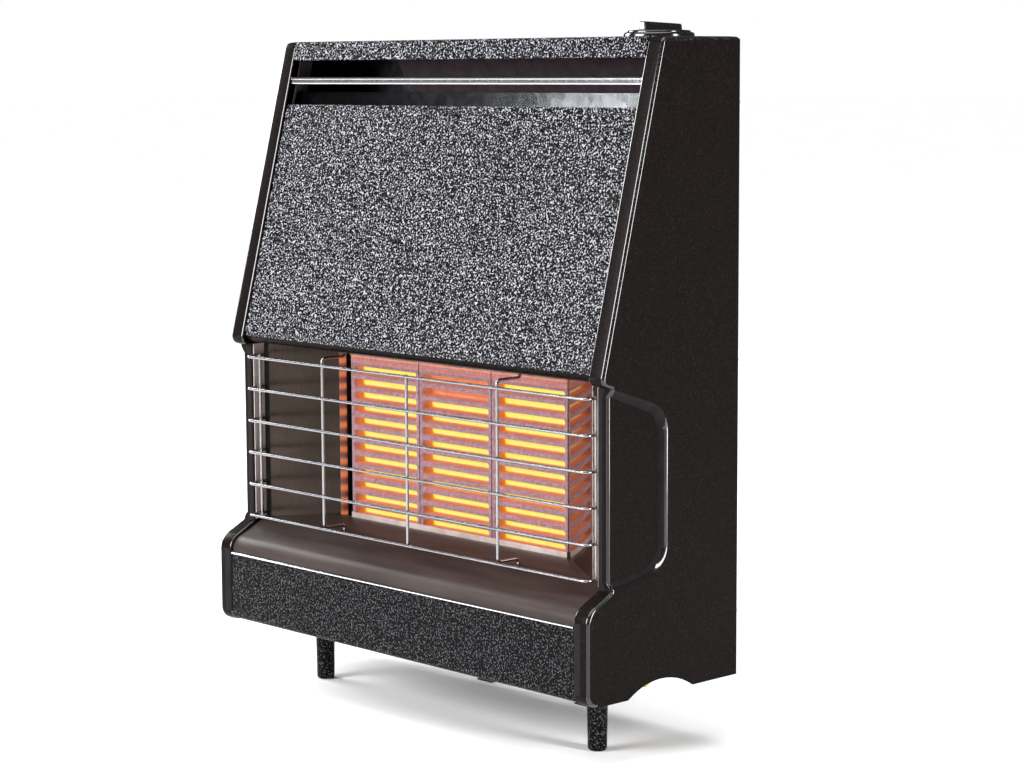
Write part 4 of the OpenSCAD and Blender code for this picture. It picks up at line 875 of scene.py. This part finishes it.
class GASFIRE_OT_controls(bpy.types.Operator):
    """Adds the knob with its grip and pointer, and the bezel round it"""
    bl_idname = "gas_fire.controls"
    bl_label = "Knob and bezel"

    def execute(self, context):
        low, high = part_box("dial_plate")
        centre = low_middle(low, high)
        r, bore, well_r, well_floor, rim_h = (high[0] - low[0]) / 2, 6 * MM, 29.5 * MM, 0.8 * MM, 4 * MM
        bm = bmesh.new()
        profile = rounded([(bore, well_floor, 0), (well_r, well_floor, 0), (well_r, rim_h, 0.6 * MM),
                           (r, rim_h, 2.5 * MM), (r, 0, 0), (bore, 0, 0), (bore, well_floor, 0)], steps=8)
        lathe(bm, [(p.x, p.y) for p in profile], centre)
        bezel = finish_mesh("bezel_ring", bm, "phenolic_moulded_black", 35)
        put(bezel, "black_plastic", "dial_plate")

        low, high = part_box("control_knob")
        z, middle, skirt_r, skirt_h, crown_r, crown_h = (
            low[2], 0.01 * MM, 29 * MM, 1.5 * MM, 20 * MM, 2.2 * MM)
        bm = bmesh.new()
        profile = rounded([(middle, 0, 0), (skirt_r, 0, 0), (skirt_r, skirt_h, 1.2 * MM),
                           (crown_r, crown_h, 8 * MM), (middle, crown_h, 0)], steps=8)
        lathe(bm, [(p.x, p.y) for p in profile], (centre[0], centre[1], z))
        skirt = finish_mesh("knob_skirt", bm, "phenolic_moulded_black", 35)
        put(skirt, "black_plastic", "control_knob", body="knob")

        # The grip's ends, lower edge, height at both ends, half width and taper
        near, far, base, far_h, near_h = -23 * MM, 27 * MM, 1.6 * MM, 7.8 * MM, 9.7 * MM
        half_w, taper = 4.0 * MM, 0.9 / 8
        bm = bmesh.new()
        rows = []
        outline = rounded([(near, base, 0), (far, base, 0), (far, far_h, 2 * MM), (near, near_h, 1.2 * MM)],
                          closed=True, steps=6)
        for sign in (-1, 1):
            row = []
            for p in outline:
                half = half_w - taper * (p.y - base)
                row.append(bm.verts.new((centre[0] + sign * half, centre[1] + p.x, z + p.y)))
            rows.append(row)
        solid(bm, rows)
        grip = finish_mesh("knob_grip", bm, "phenolic_moulded_black", 35, bevel_mm=0.7)
        put(grip, "black_plastic", "control_knob", body="knob")

        # The pointer stands a little proud of the grip's near end
        front, back = centre[1] + near - 0.25 * MM - FRONT, centre[1] + near + 0.6 * MM - FRONT
        z0, z1, half = z + 2.4 * MM - BOTTOM, z + 8.7 * MM - BOTTOM, 2.6 * MM
        bm = bmesh.new()
        extrude_x(bm, [Vector(p) for p in ((front, z0), (back, z0), (back, z1), (front, z1))],
                  centre[0] - half, centre[0] + half)
        mark = finish_mesh("knob_pointer", bm, "acetal_moulded_white", 35, 0.15)
        put(mark, "black_plastic", body="knob")
        tap_spring()
        return {"FINISHED"}


def tap_spring():
    """The coil under the spindle's collar, drawn at rest: the real one shortens as the knob is pushed."""
    low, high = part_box("tap_spring")
    x, y, base = low_middle(low, high)
    wire, coils, steps, sides, push = 0.45 * MM, 5, 24, 10, 3 * MM
    reach, rise = (high[0] - low[0]) / 2 - wire, high[2] - low[2] - 2 * wire
    bm = bmesh.new()
    rings = []
    for k in range(coils * steps + 1):
        turn, level = 2 * pi * k / steps, base + wire + rise * k / (coils * steps)
        around = [2 * pi * j / sides for j in range(sides)]
        across = [(reach + wire * cos(a), level + wire * sin(a)) for a in around]
        rings.append([bm.verts.new((x + r * cos(turn), y + r * sin(turn), h)) for r, h in across])
    solid(bm, rings)
    coil = finish_mesh("tap_spring_coil", bm, "steel_zinc_plated_turned", 60)
    put(coil, "small_steel", "tap_spring", body="tap_turn")
    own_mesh(coil)


# CAD pieces that keep their shape

CAD_FINISH = {
    # Painted shade: the galvanised tap bracket, seen through the louvre, is given matt black
    "matt_black_paint_and_painted_shade": ["tap_bracket"],
    "matt_black_paint_browned": ["louvre_liner", "air_deflector"],
    "stainless_polished_bowed_painted_sheen": ["louvre_blade"],
    "nickel_plated_wire_drawn": ["guard_bars", "guard_uprights"],
    "galvanised_steel_hot_dipped": ["back_panel", "foot_rail", "chassis_brackets", "injector_bracket",
                                    "pilot_bracket"],
    "stainless_polished_straw": ["reflector_hood"],
    "aluminised_steel_heat_bloomed": ["radiant_ledge"],
    "aluminised_steel_heat_dulled": ["radiant_retainer", "burner_tray", "firebox",
                                     "heat_exchanger", "exchanger_baffle", "burner", "burner_legs"],
    "aluminised_steel_mill": ["flue_spigot"],
    "mineral_fibre_board_pressed": ["insulation_board"],
    "glass_fibre_gasket_woven": ["flue_gasket"],
    "brass_turned": ["injector", "inlet_elbow", "inlet_nut", "gas_tap", "pilot_burner", "pipe_nuts"],
    "copper_tube_drawn": ["burner_pipe", "supply_pipe", "pilot_pipe", "thermocouple"],
    "steel_zinc_plated_turned": ["foot_nuts", "isolator_screw", "control_spindle",
                                 "case_screws", "spigot_screws"],
    "acetal_moulded_white": ["tap_cam"],
    "phenolic_moulded_black": ["piezo_igniter"],
    "silicone_sleeve_extruded": ["ignition_lead"],
    "steatite_glazed": ["spark_electrode"],
}


class GASFIRE_OT_frame_finishes(bpy.types.Operator):
    """Gives every shown CAD piece its finish"""
    bl_idname = "gas_fire.frame_finishes"
    bl_label = "Inner pieces"

    def execute(self, context):
        for name, nodes in CAD_FINISH.items():
            for node in nodes:
                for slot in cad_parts[node].material_slots:
                    slot.material = bpy.data.materials[name]
        return {"FINISHED"}


# Stage

def area_light(name, place, target, size, power, tint="#ffffff"):
    data = bpy.data.lights.new(name, "AREA")
    data.shape = "RECTANGLE"
    data.size, data.size_y = size
    data.energy = power
    data.color = linear(tint)
    lamp = new_object(name, data)
    lamp.location = place
    lamp.rotation_euler = (Vector(place) - Vector(target)).to_track_quat("Z", "Y").to_euler()


def photo_camera():
    """The camera that the photograph's corners give."""
    flat = cos(CAMERA_EL)
    back = Vector((sin(CAMERA_AZ) * flat, -cos(CAMERA_AZ) * flat, sin(CAMERA_EL)))
    right = Vector((cos(CAMERA_AZ), sin(CAMERA_AZ), 0))
    up = back.cross(right)
    across = right * cos(CAMERA_ROLL) + up * sin(CAMERA_ROLL)
    along = up * cos(CAMERA_ROLL) - right * sin(CAMERA_ROLL)
    aim = Vector((0, FRONT + AIM_BACK, BOTTOM + AIM_UP)) + across * AIM_RIGHT - along * AIM_DOWN
    data = bpy.data.cameras.new("photo_camera")
    data.sensor_width = SENSOR_MM
    data.lens = FOCAL_PX * SENSOR_MM / PHOTO_W
    data.clip_start, data.clip_end = 0.05, 50.0
    camera = new_object("photo_camera", data)
    turn = Matrix((across, along, back)).transposed().to_4x4()
    camera.matrix_world = Matrix.Translation(aim + back * CAMERA_FAR) @ turn
    bpy.context.scene.camera = camera


class GASFIRE_OT_stage(bpy.types.Operator):
    """Adds the pale floor, the soft lights and the camera"""
    bl_idname = "gas_fire.stage"
    bl_label = "Stage"

    def execute(self, context):
        photo_camera()
        bm = bmesh.new()
        bmesh.ops.create_grid(bm, x_segments=4, y_segments=4, size=40.0)
        # Plaster painted matt white, with a faint broad cloudiness that keeps the floor calm
        mottled("plaster_floor_painted", "#f6f6f6", "#f2f2f2", 0.8, 400, 0.0)
        floor = finish_mesh("floor", bm, "plaster_floor_painted")
        scene = context.scene
        scene.view_settings.view_transform = "Standard"
        scene.world = scene.world or bpy.data.worlds.new("studio")
        scene.world.use_nodes = True
        tree = scene.world.node_tree
        back = tree.nodes["Background"].inputs
        # The lens sees a white backdrop; the object is lit by a dim surround and the lamps
        seen = add(tree, "ShaderNodeLightPath", out="Is Camera Ray")
        add(tree, "ShaderNodeMapRange", {"To Min": 0.10, "To Max": 1.0}, {"Value": seen},
            into=back["Strength"])
        back["Color"].default_value = (1, 1, 1, 1)
        area_light("front_softbox", (-0.95, -2.5, 1.15), (0, 0, 0.4), (1.6, 1.2), 130)
        area_light("left_softbox", (-2.7, -0.25, 1.35), (0, 0, 0.5), (1.2, 1.3), 80)
        area_light("right_softbox", (1.85, 0.25, 0.62), (0, 0, 0.62), (0.35, 1.3), 48)
        sky = bpy.data.lights.new("overhead_diffuser", "SUN")
        sky.energy = 3.5
        sky.angle = radians(70)
        lamp = new_object("overhead_diffuser", sky)
        lamp.rotation_euler = (radians(12), radians(-8), 0)
        return {"FINISHED"}


STEPS = ("stage", "sides", "top", "louvre", "plinth", "radiants", "reflector", "feet", "controls",
         "frame_finishes")


class GASFIRE_PT_panel(bpy.types.Panel):
    """Lists the fire's pieces"""
    bl_idname = "GASFIRE_PT_panel"
    bl_label = "Gas fire"
    bl_space_type = "VIEW_3D"
    bl_region_type = "UI"
    bl_category = "Gas fire"

    def draw(self, context):
        for step in STEPS:
            self.layout.operator("gas_fire." + step)
        for group in (context.scene.gas_fire_sizes, context.scene.gas_fire_colours):
            box = self.layout.box()
            for name in group.__annotations__:
                box.prop(group, name)


CLASSES = (GasFireSizes, GasFireColours, GASFIRE_OT_stage, GASFIRE_OT_sides, GASFIRE_OT_top,
           GASFIRE_OT_louvre, GASFIRE_OT_plinth, GASFIRE_OT_radiants, GASFIRE_OT_reflector, GASFIRE_OT_feet,
           GASFIRE_OT_controls, GASFIRE_OT_frame_finishes, GASFIRE_PT_panel)


def register():
    for one in CLASSES:
        bpy.utils.register_class(one)
    bpy.types.Scene.gas_fire_sizes = bpy.props.PointerProperty(type=GasFireSizes)
    bpy.types.Scene.gas_fire_colours = bpy.props.PointerProperty(type=GasFireColours)


def unregister():
    del bpy.types.Scene.gas_fire_colours
    del bpy.types.Scene.gas_fire_sizes
    for one in reversed(CLASSES):
        bpy.utils.unregister_class(one)


def main():
    register()
    finishes()
    for step in STEPS:
        getattr(bpy.ops.gas_fire, step)()


if __name__ == "__main__":
    main()
